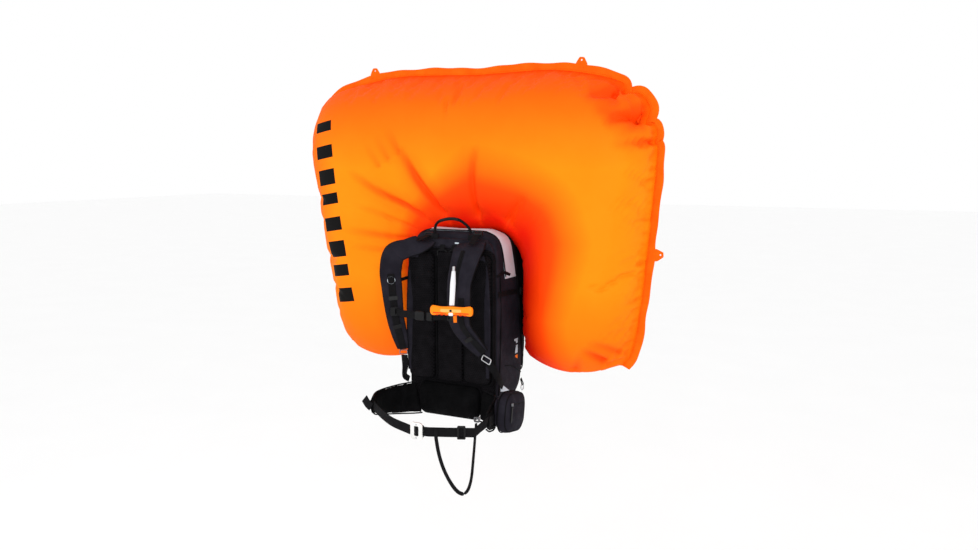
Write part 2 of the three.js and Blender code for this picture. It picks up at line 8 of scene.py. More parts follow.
import bmesh
import bpy
import numpy as np
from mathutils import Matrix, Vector

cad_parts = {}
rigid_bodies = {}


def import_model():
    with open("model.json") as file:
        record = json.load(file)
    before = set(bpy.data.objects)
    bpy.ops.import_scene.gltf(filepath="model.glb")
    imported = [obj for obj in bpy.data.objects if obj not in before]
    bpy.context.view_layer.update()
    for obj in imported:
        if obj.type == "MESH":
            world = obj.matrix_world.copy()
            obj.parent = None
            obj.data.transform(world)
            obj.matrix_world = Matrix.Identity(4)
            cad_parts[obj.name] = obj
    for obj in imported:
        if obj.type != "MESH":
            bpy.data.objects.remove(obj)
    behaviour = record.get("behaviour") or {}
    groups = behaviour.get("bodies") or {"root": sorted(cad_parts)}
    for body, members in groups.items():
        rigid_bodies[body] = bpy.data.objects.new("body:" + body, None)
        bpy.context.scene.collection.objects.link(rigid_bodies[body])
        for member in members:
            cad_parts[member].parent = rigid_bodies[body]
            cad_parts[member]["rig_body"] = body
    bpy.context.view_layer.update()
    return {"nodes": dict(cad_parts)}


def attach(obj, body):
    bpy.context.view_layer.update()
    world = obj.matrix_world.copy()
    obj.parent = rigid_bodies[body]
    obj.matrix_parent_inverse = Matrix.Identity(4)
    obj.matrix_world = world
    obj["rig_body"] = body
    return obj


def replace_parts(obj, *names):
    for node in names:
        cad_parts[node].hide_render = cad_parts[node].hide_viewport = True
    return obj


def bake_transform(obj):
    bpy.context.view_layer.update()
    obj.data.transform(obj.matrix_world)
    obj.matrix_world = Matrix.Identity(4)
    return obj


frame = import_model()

LUMBAR_FACE, LUMBAR_MIDDLE = -20.0, 41.0          # the row's origin, in pack space
ORIGIN = np.array([0.0, LUMBAR_FACE, LUMBAR_MIDDLE])


def place(points):
    return (np.asarray(points, float) - ORIGIN) * 0.001


# ---- camera ------------------------------------------------------------------------------------------
CAMERA_AT = (1170.4, -2098.2, 731.1)
CAMERA_TURN, CAMERA_TILT = 26.5, 7.78             # degrees round to the right, and down
camera_data = bpy.data.cameras.new("camera")
camera_data.sensor_width = 36.0
camera_data.lens = 31.49
camera = bpy.data.objects.new("camera", camera_data)
camera.location = Vector(place(CAMERA_AT))
camera.rotation_euler = (math.radians(90 - CAMERA_TILT), 0, math.radians(CAMERA_TURN))
bpy.context.scene.collection.objects.link(camera)
bpy.context.scene.camera = camera
bpy.context.scene.view_settings.view_transform = "Standard"


# ---- curves and rails --------------------------------------------------------------------------------
def lengths(points):
    return np.concatenate([[0.0], np.cumsum(np.linalg.norm(np.diff(points, axis=0), axis=1))])


def resample(points, count):
    along = lengths(points)
    want = np.linspace(0, along[-1], count)
    return np.stack([np.interp(want, along, points[:, k]) for k in range(points.shape[1])], axis=1)


def spline(points, at):
    """Centripetal Catmull-Rom through the points; `at` counts in points from the first one."""
    p = np.asarray(points, float)
    p = np.vstack([2 * p[0] - p[1], p, 2 * p[-1] - p[-2]])
    at = np.asarray(at, float)
    first = np.minimum(np.floor(at).astype(int), len(p) - 4)
    q = [p[first + k] for k in range(4)]
    gap = [np.maximum(np.linalg.norm(q[k + 1] - q[k], axis=1, keepdims=True), 1e-6) ** 0.5 for k in range(3)]
    t = [gap[0] * 0, gap[0], gap[0] + gap[1], gap[0] + gap[1] + gap[2]]
    x = t[1] + (at - first)[:, None] * gap[1]
    a = [((t[k + 1] - x) * q[k] + (x - t[k]) * q[k + 1]) / (t[k + 1] - t[k]) for k in range(3)]
    b = [((t[k + 2] - x) * a[k] + (x - t[k]) * a[k + 1]) / (t[k + 2] - t[k]) for k in range(2)]
    return ((t[2] - x) * b[0] + (x - t[1]) * b[1]) / (t[2] - t[1])


def curve(points, count):
    """A smooth line through the points, evenly spaced."""
    p = np.asarray(points, float)
    if len(p) == 2:
        return resample(p, count)
    return resample(spline(p, np.linspace(0, len(p) - 1, 28 * len(p))), count)


def unit(v):
    return v / np.maximum(np.linalg.norm(v, axis=-1, keepdims=True), 1e-9)


class Rail:
    """A line of stations that carries a width, a thickness and the directions across and out of a strap."""

    def __init__(self, centre, across, normal, width, thick):
        self.centre, self.across, self.normal, self.width, self.thick = centre, across, normal, width, thick

    @classmethod
    def through(cls, stations, count):
        points = np.array([s[0] for s in stations], float)
        centre = curve(points, count)
        at = lengths(points) / lengths(points)[-1]
        want = np.linspace(0, 1, count)
        spread = lambda values: np.interp(want, at, values)
        tangent = unit(np.gradient(centre, axis=0))
        across = np.stack([spread([s[3][k] for s in stations]) for k in range(3)], axis=1)
        across = unit(across - (across * tangent).sum(1, keepdims=True) * tangent)
        return cls(centre, across, np.cross(tangent, across),
                   spread([s[1] for s in stations]), spread([s[2] for s in stations]))

    def moved(self, across=0.0, out=0.0, width=None, thick=None, start=0.0, end=1.0):
        """A rail on this one: across in half-widths, out in millimetres past its surface."""
        n = len(self.centre)
        a, b = int(round(start * (n - 1))), int(round(end * (n - 1))) + 1
        half = self.thick[:, None] / 2 * (1 if out >= 0 else -1)
        centre = self.centre + self.across * (across * self.width[:, None] / 2) + self.normal * (half + out)
        width = self.width if width is None else np.full(n, float(width))
        thick = self.thick if thick is None else np.full(n, float(thick))
        return Rail(centre[a:b], self.across[a:b], self.normal[a:b], width[a:b], thick[a:b])


def superellipse(power, count):
    turn = np.linspace(0, 2 * math.pi, count, endpoint=False)
    c, s = np.cos(turn), np.sin(turn)
    return np.stack([np.sign(c) * np.abs(c) ** (2 / power), np.sign(s) * np.abs(s) ** (2 / power)], axis=1)


FLAT = np.array([[1, 0.5], [0.93, 1], [0.5, 1], [0, 1], [-0.5, 1], [-0.93, 1], [-1, 0.5],
                 [-1, -0.5], [-0.93, -1], [-0.5, -1], [0, -1], [0.5, -1], [0.93, -1], [1, -0.5]])
PAD = superellipse(3.4, 28)
ROUND = superellipse(2, 12)


def piece(name, verts, faces, material, body="pack", uvs=None, smooth=True):
    """A mesh piece in pack space, with a (u, v) pair per vertex; the material goes in its one slot."""
    mesh = bpy.data.meshes.new(name)
    mesh.from_pydata(place(verts).tolist(), [], [list(map(int, f)) for f in faces])
    mesh.validate()
    if uvs is not None:
        layer = mesh.uv_layers.new(name="UVMap")
        corner = np.empty(len(mesh.loops), dtype=np.int32)
        mesh.loops.foreach_get("vertex_index", corner)
        values = np.asarray(uvs, float)
        layer.data.foreach_set("uv", values[corner].astype(np.float32).ravel())
    if smooth:
        mesh.polygons.foreach_set("use_smooth", [True] * len(mesh.polygons))
    mesh.materials.append(material)
    obj = bpy.data.objects.new(name, mesh)
    bpy.context.scene.collection.objects.link(obj)
    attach(obj, body)
    return obj


def sweep(name, rail, section, material, body="pack"):
    """A closed strap, cord or pad along a rail, with its millimetres as UVs."""
    count, ring = len(rail.centre), len(section)
    verts = (rail.centre[:, None] + rail.across[:, None] * (section[None, :, :1]
                                                            * rail.width[:, None, None] / 2)
             + rail.normal[:, None] * (section[None, :, 1:] * rail.thick[:, None, None] / 2)).reshape(-1, 3)
    i, j = np.meshgrid(np.arange(count - 1), np.arange(ring), indexing="ij")
    a = (i * ring + j).ravel()
    b = (i * ring + (j + 1) % ring).ravel()
    faces = np.stack([a, b, b + ring, a + ring], axis=1).tolist()
    faces.append(list(range(ring))[::-1])
    faces.append(list(range((count - 1) * ring, count * ring)))
    u = (section[None, :, 0] * rail.width[:, None] / 2)
    v = np.repeat(lengths(rail.centre)[:, None], ring, axis=1)
    obj = piece(name, verts, faces, material, body, np.stack([u, v], axis=2).reshape(-1, 2))
    fix_normals(obj)
    return obj


def bend(obj):
    """Takes a finished piece off its body and bakes its placement into its mesh."""
    obj.parent = None
    del obj["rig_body"]
    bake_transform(obj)


def fix_normals(obj):
    bm = bmesh.new()
    bm.from_mesh(obj.data)
    bmesh.ops.recalc_face_normals(bm, faces=bm.faces)
    bm.to_mesh(obj.data)
    bm.free()


def dashes(name, rail, pitch, length, material, body="pack", size=0.9):
    """A row of stitches lying on a rail."""
    along = lengths(rail.centre)
    verts, faces = [], []
    tangent = unit(np.gradient(rail.centre, axis=0))
    for start in np.arange(pitch / 2, along[-1] - length, pitch):
        at = [np.array([np.interp(s, along, rail.centre[:, k]) for k in range(3)])
              for s in (start, start + length)]
        k = int(np.searchsorted(along, start).clip(1, len(along) - 1))
        a, n = rail.across[k] * size / 2, rail.normal[k] * size * 0.45
        base = len(verts)
        lift = tangent[k] * length * 0.2
        for end, shift in zip(at, (lift, -lift)):
            verts += [end + a, end + n + shift, end - a, end - n]
        for m in range(4):
            faces.append([base + m, base + (m + 1) % 4, base + 4 + (m + 1) % 4, base + 4 + m])
        faces += [[base + 3, base + 2, base + 1, base], [base + 4, base + 5, base + 6, base + 7]]
    return piece(name, verts, faces, material, body)


# ---- materials ---------------------------------------------------------------------------------------
class Look:
    """A node material; socket helpers return sockets, so looks read as formulas."""

    def __init__(self, name, rough=0.6, metal=0.0, sheen=0.0, specular=0.5):
        self.material = bpy.data.materials.new(name)
        self.material.use_nodes = True
        self.tree = self.material.node_tree
        self.shader = self.tree.nodes["Principled BSDF"]
        for key, value in (("Roughness", rough), ("Metallic", metal), ("Sheen Weight", sheen),
                           ("Specular IOR Level", specular)):
            self.shader.inputs[key].default_value = value
        self.shader.inputs["Sheen Roughness"].default_value = 0.6

    def node(self, kind, inputs=(), output=0, **settings):
        node = self.tree.nodes.new(kind)
        for key, value in settings.items():
            setattr(node, key, value)
        for key, value in dict(inputs).items():
            if isinstance(value, bpy.types.NodeSocket):
                self.tree.links.new(value, node.inputs[key])
            else:
                node.inputs[key].default_value = value
        return node.outputs[output]

    def math(self, operation, a, b=0.0, c=0.0):
        return self.node("ShaderNodeMath", {0: a, 1: b, 2: c}, operation=operation)

    def place(self, which="Object"):
        return self.node("ShaderNodeTexCoord", output=which)

    def noise(self, vector, scale, detail=3.0, rough=0.55):
        return self.node("ShaderNodeTexNoise", {"Vector": vector, "Scale": scale, "Detail": detail,
                                                "Roughness": rough}, "Fac")

    def step(self, value, low, high, to_low=0.0, to_high=1.0):
        return self.node("ShaderNodeMapRange", {"Value": value, "From Min": low, "From Max": high,
                                                "To Min": to_low, "To Max": to_high})

    def mix(self, factor, a, b):
        colour = lambda c: c if isinstance(c, bpy.types.NodeSocket) else (*c, 1.0)
        return self.node("ShaderNodeMix", {"Factor": factor, 6: colour(a), 7: colour(b)}, 2, data_type="RGBA")

    def finish(self, colour, height=None, bump=0.3, distance=0.0006, rough=None):
        link = self.tree.links.new
        link(colour, self.shader.inputs["Base Color"])
        if rough is not None:
            link(rough, self.shader.inputs["Roughness"])
        if height is not None:
            link(self.node("ShaderNodeBump", {"Height": height, "Strength": bump, "Distance": distance}),
                 self.shader.inputs["Normal"])
        return self.material


def weave_height(look, pitch, vector=None):
    """Threads crossing at right angles, on any side of a piece; pitch in millimetres."""
    xyz = look.node("ShaderNodeSeparateXYZ", {0: vector or look.place()}, 0).node
    turns = 2 * math.pi / (pitch * 0.001)
    waves = [look.math("SINE", look.math("MULTIPLY", xyz.outputs[k], turns)) for k in range(3)]
    pair = look.math("ADD", look.math("MULTIPLY", waves[0], waves[2]),
                     look.math("MULTIPLY", waves[1], waves[2]))
    return look.math("ADD", pair, look.math("MULTIPLY", waves[0], waves[1]))


def cloth_look(name, colour, worn, pitch=1.1, rough=0.8, sheen=0.0, bump=0.35):
    """Woven nylon: threads, a faint mottling, and paler wear where the cloth is rubbed."""
    look = Look(name, rough=rough, sheen=sheen, specular=0.05)
    where = look.place()
    mottle = look.step(look.noise(where, 26, 5), 0.35, 0.7)
    fuzz = look.noise(where, 900, 2)
    threads = weave_height(look, pitch)
    base = look.mix(look.math("MULTIPLY", mottle, 0.6), colour, worn)
    base = look.mix(look.step(threads, -1.2, 1.4, 0.25, 0.0), base, tuple(c * 0.45 for c in colour))
    height = look.math("ADD", threads, look.math("MULTIPLY", fuzz, 1.2))
    return look.finish(base, height, bump, 0.0004, look.step(mottle, 0, 1, rough + 0.05, rough - 0.1))


def web_look(name, colour, worn, pitch=1.5, rough=0.7):
    """Flat webbing: slanted ribs across it in two tones, fine columns along it and a faint mottling."""
    look = Look(name, rough=rough, specular=0.06)
    uv = look.node("ShaderNodeSeparateXYZ", {0: look.place("UV")}, 0).node
    across, along = uv.outputs[0], uv.outputs[1]
    slant = look.math("ADD", along, look.math("MULTIPLY", look.math("PINGPONG", across, 2.5), 1.0))
    ribs = look.math("SINE", look.math("MULTIPLY", slant, 2 * math.pi / pitch))
    columns = look.math("SINE", look.math("MULTIPLY", across, 2 * math.pi / 2.5))
    height = look.math("ADD", ribs, look.math("MULTIPLY", columns, 0.6))
    mottle = look.noise(look.place(), 60, 4)
    base = look.mix(look.step(ribs, -1, 1, 0.0, 0.7), colour, worn)
    base = look.mix(look.step(mottle, 0.35, 0.75, 0.0, 0.5), base, worn)
    return look.finish(base, height, 0.5, 0.0005)


def mesh_look(name, colour, cell=5.0):
    """Spacer mesh with round holes on a hexagonal lattice in the XZ plane."""
    look = Look(name, rough=0.85, specular=0.03)
    xyz = look.node("ShaderNodeSeparateXYZ", {0: look.place()}, 0).node
    x = look.math("MULTIPLY", xyz.outputs[0], 1000 / cell)
    z = look.math("MULTIPLY", xyz.outputs[2], 1000 / cell)
    root = math.sqrt(3)

    def lattice(shift):
        u = look.math("SUBTRACT", look.math("FRACT", look.math("ADD", x, 0.5 * shift)), 0.5)
        w = look.math("FRACT", look.math("ADD", look.math("DIVIDE", z, root), 0.5 * shift))
        w = look.math("MULTIPLY", look.math("SUBTRACT", w, 0.5), root)
        return look.math("ADD", look.math("MULTIPLY", u, u), look.math("MULTIPLY", w, w))

    near = look.math("SQRT", look.math("MINIMUM", lattice(0), lattice(1)))
    rim = look.step(near, 0.26, 0.46)
    mottle = look.noise(look.place(), 40, 4)
    base = look.mix(rim, tuple(c * 0.12 for c in colour), colour)
    base = look.mix(look.step(mottle, 0.4, 0.8, 0.0, 0.4), base, tuple(c * 1.9 for c in colour))
    threads = look.math("MULTIPLY", weave_height(look, 0.7), 0.12)
    return look.finish(base, look.math("ADD", rim, threads), 0.9, 0.0012)


def plastic_look(name, colour, rough=0.42, grain=700, worn=None):
    look = Look(name, rough=rough, specular=0.16)
    where = look.place()
    speckle = look.noise(where, grain, 2)
    scuff = look.step(look.noise(where, 55, 6, 0.7), 0.55, 0.75, 0.0, 0.55)
    base = look.mix(scuff, colour, worn or tuple(min(1, c * 1.7 + 0.01) for c in colour))
    return look.finish(base, speckle, 0.25, 0.0002, look.step(speckle, 0.2, 0.8, rough - 0.08, rough + 0.12))


def metal_look(name, colour, rough=0.28):
    look = Look(name, rough=rough, metal=1.0)
    where = look.place()
    stretched = look.node("ShaderNodeMapping", {"Vector": where, "Scale": (40, 40, 900)})
    brush = look.noise(stretched, 6, 3)
    smudge = look.noise(where, 45, 4)
    base = look.mix(look.step(smudge, 0.3, 0.75), colour, tuple(c * 0.8 for c in colour))
    return look.finish(base, brush, 0.12, 0.0002, look.step(brush, 0.2, 0.8, rough - 0.08, rough + 0.14))


CHARCOAL, CHARCOAL_WORN = (0.0125, 0.0112, 0.0165), (0.026, 0.0235, 0.033)
BLACK, BLACK_WORN = (0.0028, 0.0027, 0.0032), (0.009, 0.0086, 0.010)
# the second colour is painted shade: the deep red between the bag's panels round the pack
ORANGE, GAP_SHADE_RED = (1.0, 0.225, 0.002), (0.85, 0.010, 0.0004)
shell_cloth = cloth_look("shell_cloth", CHARCOAL, CHARCOAL_WORN, 1.3)
black_cloth = cloth_look("black_cloth", BLACK, BLACK_WORN, 1.2)
pad_cloth = cloth_look("pad_cloth", (0.0012, 0.0012, 0.0014), (0.0042, 0.004, 0.0048), 1.8, 0.9, 0.0, 0.5)
binding = cloth_look("binding", (0.0032, 0.0032, 0.0037), (0.010, 0.0096, 0.0115), 0.9, 0.7)
light_cloth = cloth_look("light_cloth", (0.55, 0.63, 0.69), (0.64, 0.71, 0.77), 1.1, 0.7, 0.0, 0.25)
mesh_black = mesh_look("mesh_black", (0.0095, 0.0086, 0.0102), 6.0)
webbing = web_look("webbing", BLACK, (0.0105, 0.010, 0.0115))
orange_web = web_look("orange_web", (0.85, 0.14, 0.003), (1.0, 0.26, 0.02), 1.1)
plastic = plastic_look("plastic", (0.0045, 0.0045, 0.005))
orange_plastic = plastic_look("orange_plastic", (1.0, 0.235, 0.003), 0.36, 500, (1.0, 0.30, 0.008))
yellow_plastic = plastic_look("yellow_plastic", (0.75, 0.55, 0.04))
white_cloth = cloth_look("white_cloth", (0.76, 0.76, 0.79), (0.86, 0.86, 0.88), 0.8, 0.6, 0.1, 0.2)
steel = metal_look("steel", (0.60, 0.61, 0.63))
alloy = metal_look("alloy", (0.90, 0.90, 0.88), 0.42)
dark_steel = metal_look("dark_steel", (0.16, 0.16, 0.17), 0.4)
# painted shade: a deep red plastic for the shaded groove and underside of the trigger grip
red_shade_plastic = plastic_look("red_shade_plastic", (0.80, 0.035, 0.002), 0.4, 500, (0.9, 0.08, 0.004))
bottle_paint = plastic_look("bottle_paint", (0.45, 0.48, 0.52), 0.3)
thread_light = cloth_look("thread_light", (0.022, 0.021, 0.025), (0.040, 0.039, 0.044), 0.6)


# ---- leg loop: one flat webbing, hung over the belt and hooked to its clip -----------------------------
LOOP_ROUTE = [
    [112, -278, 50], [112.5, -279, 38], [113, -279, 25], [114.5, -277.5, 10], [117, -276, -8],
    [121, -274, -28], [127, -271, -50], [135, -267, -72], [144.5, -261, -94], [154, -254, -112],
    [163, -247, -123], [172, -241, -126], [179, -235.5, -119], [184, -231, -104], [187, -227, -84],
    [188.5, -224, -60], [189.5, -221, -34], [190.5, -218, -8], [191, -215, 16], [191.5, -212, 38],
    [192, -210, 56],
]
LOOP_WIDTH = 10
loop_line = curve(LOOP_ROUTE, 150)
loop_turn = np.interp(np.linspace(0, 1, 150), [0, 0.35, 0.62, 1], [0.1, 0.2, 1.3, 1.5])
loop_across = np.stack([np.cos(loop_turn), np.sin(loop_turn) * 0.9, 0.2 * np.sin(loop_turn)], axis=1)
loop_tangent = unit(np.gradient(loop_line, axis=0))
loop_across = unit(loop_across - (loop_across * loop_tangent).sum(1, keepdims=True) * loop_tangent)
loop_rail = Rail(loop_line, loop_across, np.cross(loop_tangent, loop_across),
                 np.full(150, float(LOOP_WIDTH)), np.full(150, 1.9))
leg_loop = sweep("leg_loop_webbing", loop_rail, FLAT, webbing, "belt_right")
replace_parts(leg_loop, "leg_loop")


# ---- cloth -------------------------------------------------------------------------------------------
PUFFED = []


def puff(obj, pressure=4.0, cap=6.0, pinned=None, slack=0.0, voxel=0.0):
    """Marks a piece for the one cloth run that settle() makes: inflated from within, no gravity."""
    if voxel:
        remesh = obj.modifiers.new("remesh", "REMESH")
        remesh.mode = "VOXEL"
        remesh.voxel_size = voxel * 0.001
        bake(obj)
    cloth = obj.modifiers.new("cloth", "CLOTH")
    settings = cloth.settings
    settings.quality = 6
    settings.mass = 0.2
    settings.tension_stiffness = settings.compression_stiffness = 20
    settings.shear_stiffness = 8
    settings.bending_stiffness = 0.15
    settings.use_pressure = True
    settings.uniform_pressure_force = pressure
    settings.shrink_min = -slack
    settings.effector_weights.gravity = 0
    cloth.collision_settings.use_collision = False
    if pinned is not None:
        group = obj.vertex_groups.new(name="seam")
        group.add([int(k) for k in pinned], 1.0, "REPLACE")
        settings.vertex_group_mass = "seam"
    PUFFED.append((obj, cap * 0.001))


def vertices(mesh):
    co = np.empty(len(mesh.vertices) * 3, dtype=np.float32)
    mesh.vertices.foreach_get("co", co)
    return co.reshape(-1, 3).astype(float)


def bake(obj):
    shown = obj.evaluated_get(bpy.context.evaluated_depsgraph_get())
    mesh = bpy.data.meshes.new_from_object(shown)
    for modifier in list(obj.modifiers):
        obj.modifiers.remove(modifier)
    obj.data = mesh
    mesh.polygons.foreach_set("use_smooth", [True] * len(mesh.polygons))


def settle():
    scene = bpy.context.scene
    rest = [vertices(obj.data) for obj, _ in PUFFED]
    for frame_number in range(1, 21):
        scene.frame_set(frame_number)
    for (obj, cap), before in zip(PUFFED, rest):
        shown = obj.evaluated_get(bpy.context.evaluated_depsgraph_get())
        moved = vertices(shown.data) - before
        far = np.linalg.norm(moved, axis=1, keepdims=True)
        after = before + moved * np.minimum(1, cap / np.maximum(far, 1e-9))
        obj.data.vertices.foreach_set("co", after.astype(np.float32).ravel())
        for modifier in list(obj.modifiers):
            obj.modifiers.remove(modifier)
        obj.data.update()
    scene.frame_set(1)


def subdivided(obj, levels=1):
    smooth = obj.modifiers.new("smooth", "SUBSURF")
    smooth.levels = smooth.render_levels = levels
    bake(obj)


# ---- airbag ------------------------------------------------------------------------------------------
BAG_LEFT, BAG_RIGHT, BAG_LOW, BAG_TOP = 594, 560, 98, 1000
NOTCH_HALF, NOTCH_TOP = 151, 484
BAG_DEPTH, BAG_MIDDLE = 262, 190
FLANGE = 22


def bag_edges():
    """The seams round the notch and round the outside, each as points in the XZ plane, left foot to right."""
    def half(edge, foot, tapers, top):
        return [((NOTCH_HALF, foot + 14), (edge - tapers[0], foot)),
                ((NOTCH_HALF - 1, BAG_LOW + 150), (edge - tapers[1], BAG_LOW + 150)),
                ((NOTCH_HALF - 2, BAG_LOW + 260), (edge - tapers[2], BAG_LOW + 330)),
                ((NOTCH_HALF - 6, NOTCH_TOP - 66), (edge - tapers[3], BAG_LOW + 540)),
                ((NOTCH_HALF - 24, NOTCH_TOP - 22), (edge - 4, top - 175)),
                ((NOTCH_HALF - 62, NOTCH_TOP - 4), (edge - 52, top - 70)),
                ((NOTCH_HALF - 104, NOTCH_TOP), (edge - 250, top - 6))]
    top = BAG_TOP - FLANGE
    right = half(BAG_RIGHT - FLANGE, BAG_LOW + 38 + FLANGE * 0.7, (70, 46, 26, 8), top)[::-1]
    left = [((-a, b), (-c, d)) for (a, b), (c, d) in half(BAG_LEFT - 5, BAG_LOW + 38, (122, 84, 48, 16), top)]
    pairs = left + [((0, NOTCH_TOP), (0, top - 4))] + right
    return np.array([p[0] for p in pairs], float), np.array([p[1] for p in pairs], float)


def bag_grid(along, across):
    """Points of the front and back panels: [side, along, across, xyz]."""
    notch, outside = bag_edges()
    dense = np.linspace(0, len(notch) - 1, 1500)
    pace = lengths((spline(notch, dense) + 2 * spline(outside, dense)) / 3)
    at = np.interp(np.linspace(0, pace[-1], along), pace, dense)
    s = at / (len(notch) - 1)
    j = np.linspace(0, 1, across)
    t = 0.4 * j + 0.6 * (1 - np.cos(j * math.pi)) / 2
    inner, outer = spline(notch, at)[:, None], spline(outside, at)[:, None]
    flat = inner + (outer - inner) * t[None, :, None]
    ends = 1 - np.abs(2 * s - 1) ** 9
    swell = np.sqrt(np.maximum(0, 1 - np.abs(2 * t - 1) ** 2.3)[None] * np.maximum(0, ends)[:, None])
    droop = np.sin(t * math.pi)[None] * 40 * (np.abs(2 * s - 1) ** 8)[:, None]
    sides = [np.stack([flat[..., 0], BAG_MIDDLE + sign * BAG_DEPTH / 2 * swell, flat[..., 1] - droop],
                      axis=-1) for sign in (-1, 1)]
    return np.stack(sides)


def bag_faces(shape):
    """Vertex numbers of the two panels, sewn together along their seams and ends, and their faces."""
    _, n, m = shape
    number = np.arange(2 * n * m).reshape(2, n, m)
    back = number[1].copy()
    back[0], back[-1], back[:, 0], back[:, -1] = number[0, 0], number[0, -1], number[0, :, 0], number[0, :,
        -1]
    number = np.stack([number[0], back])
    used, number = np.unique(number, return_inverse=True)
    number = number.reshape(2, n, m)
    faces = []
    for side, ids in enumerate(number):
        quads = [ids[:-1, :-1], ids[:-1, 1:], ids[1:, 1:], ids[1:, :-1]]
        quads = np.stack(quads if side else quads[::-1], axis=-1).reshape(-1, 4)
        faces.append(quads)
    return used, number, np.concatenate(faces)


def refine(grid, factor, axis):
    grid = np.moveaxis(grid, axis, 0)
    p = np.concatenate([2 * grid[:1] - grid[1:2], grid, 2 * grid[-1:] - grid[-2:-1]])
    at = np.arange((len(grid) - 1) * factor + 1) / factor
    i = np.minimum(at.astype(int), len(grid) - 2)
    x = (at - i).reshape((-1,) + (1,) * (grid.ndim - 1))
    a, b, c, d = (p[i + k] for k in range(4))
    out = b + 0.5 * x * (c - a + x * (2 * a - 5 * b + 4 * c - d + x * (3 * (b - c) + d - a)))
    return np.moveaxis(out, 0, axis)


def groove(x, z, points, depth, width):
    """How far a crease pulls the cloth in; it fades from its first point to its last."""
    line = curve(points, 40)
    u = np.linspace(0, 1, 40)
    near = np.full(x.shape, 1e9)
    where = np.zeros(x.shape)
    for (px, pz), part in zip(line, u):
        d = (x - px) ** 2 + (z - pz) ** 2
        where = np.where(d < near, part, where)
        near = np.minimum(near, d)
    near = np.sqrt(near)
    fade = np.clip(where * 12, 0.25, 1) * (1 - where) ** 0.8
    spread = width * (1 + where)
    sharp = np.exp(-(near / spread) ** 2)
    shoulder = np.exp(-(near / (spread * 4)) ** 2)
    return depth * fade * (sharp + 0.55 * shoulder)


def crimps(a, d, total, spacing, depth, reach, seed, strength=lambda k: 1.0):
    """Short creases that run in from a seam: a is the place along it and d the distance from it."""
    rng = random.Random(seed)
    out = np.zeros(a.shape)
    k = spacing / 2
    while k < total:
        drift, wide = rng.uniform(-0.22, 0.22), rng.uniform(4.5, 9)
        length = reach * rng.uniform(0.45, 1.35)
        pull = depth * rng.uniform(0.3, 1.0) * strength(k / total)
        shape = np.exp(-((a - k - drift * d) / (wide * (1 + d / 110))) ** 2)
        out += pull * shape * np.clip(1 - d / length, 0, 1) ** 1.3 * np.clip(d / 14, 0, 1)
        k += spacing * rng.uniform(0.6, 1.4)
    return out


CREASES = [  # on the wearer's side, each from the notch outwards: points in XZ, depth, width
    ([(-122, 540), (-190, 590), (-290, 640), (-392, 700)], 15, 7),
    ([(-60, 545), (-100, 610), (-150, 680), (-196, 760)], 21, 8),
    ([(-76, 560), (-170, 720), (-232, 790), (-262, 850)], 5, 7),
    ([(44, 545), (40, 620), (44, 700), (62, 780)], 20, 7),
    ([(124, 536), (165, 580), (210, 625)], 17, 9),
    ([(-170, 486), (-280, 502), (-420, 514)], 9, 7),
    ([(-180, 452), (-300, 458), (-400, 462)], 6, 6),
    ([(-170, 398), (-260, 400), (-340, 396)], 4, 6),
    ([(-170, 520), (-260, 560), (-400, 600)], 5, 6),
    ([(-262, 700), (-330, 790)], 4, 8),
    ([(-230, 720), (-290, 810)], 4, 8),
    ([(-196, 740), (-240, 830)], 4, 8),
    ([(452, 926), (400, 912), (352, 900)], 26, 10),
    ([(530, 846), (462, 842), (420, 820)], 24, 9),
    ([(520, 842), (450, 850), (390, 876)], 8, 8),
    ([(552, 778), (490, 770), (440, 764)], 9, 7),
    ([(430, 160), (396, 186), (360, 210)], 14, 8),
    ([(330, 128), (350, 160), (360, 200)], 7, 7),
    ([(470, 190), (430, 214), (380, 222)], 8, 8),
]
# where the outer seam is gathered: place in XZ, how far it is drawn in, and over what width
GATHERS = [((474, 938), 34, 17), ((537, 846), 26, 15), ((556, 782), 9, 11), ((392, 112), 15, 16),
           ((-556, 880), 8, 40)]

coarse = bag_grid(190, 31)
n_across = coarse.shape[2]
kept, bag_ids, bag_quads = bag_faces(coarse.shape[:3])
seam_ids = np.unique(np.concatenate([bag_ids[0, :, 0], bag_ids[0, :, -1], bag_ids[0, 0], bag_ids[0, -1]]))

airbag = piece("airbag_cloth", coarse.reshape(-1, 3)[kept], bag_quads, shell_cloth)
puff(airbag, pressure=5.0, cap=13.0, pinned=seam_ids, slack=0.035)


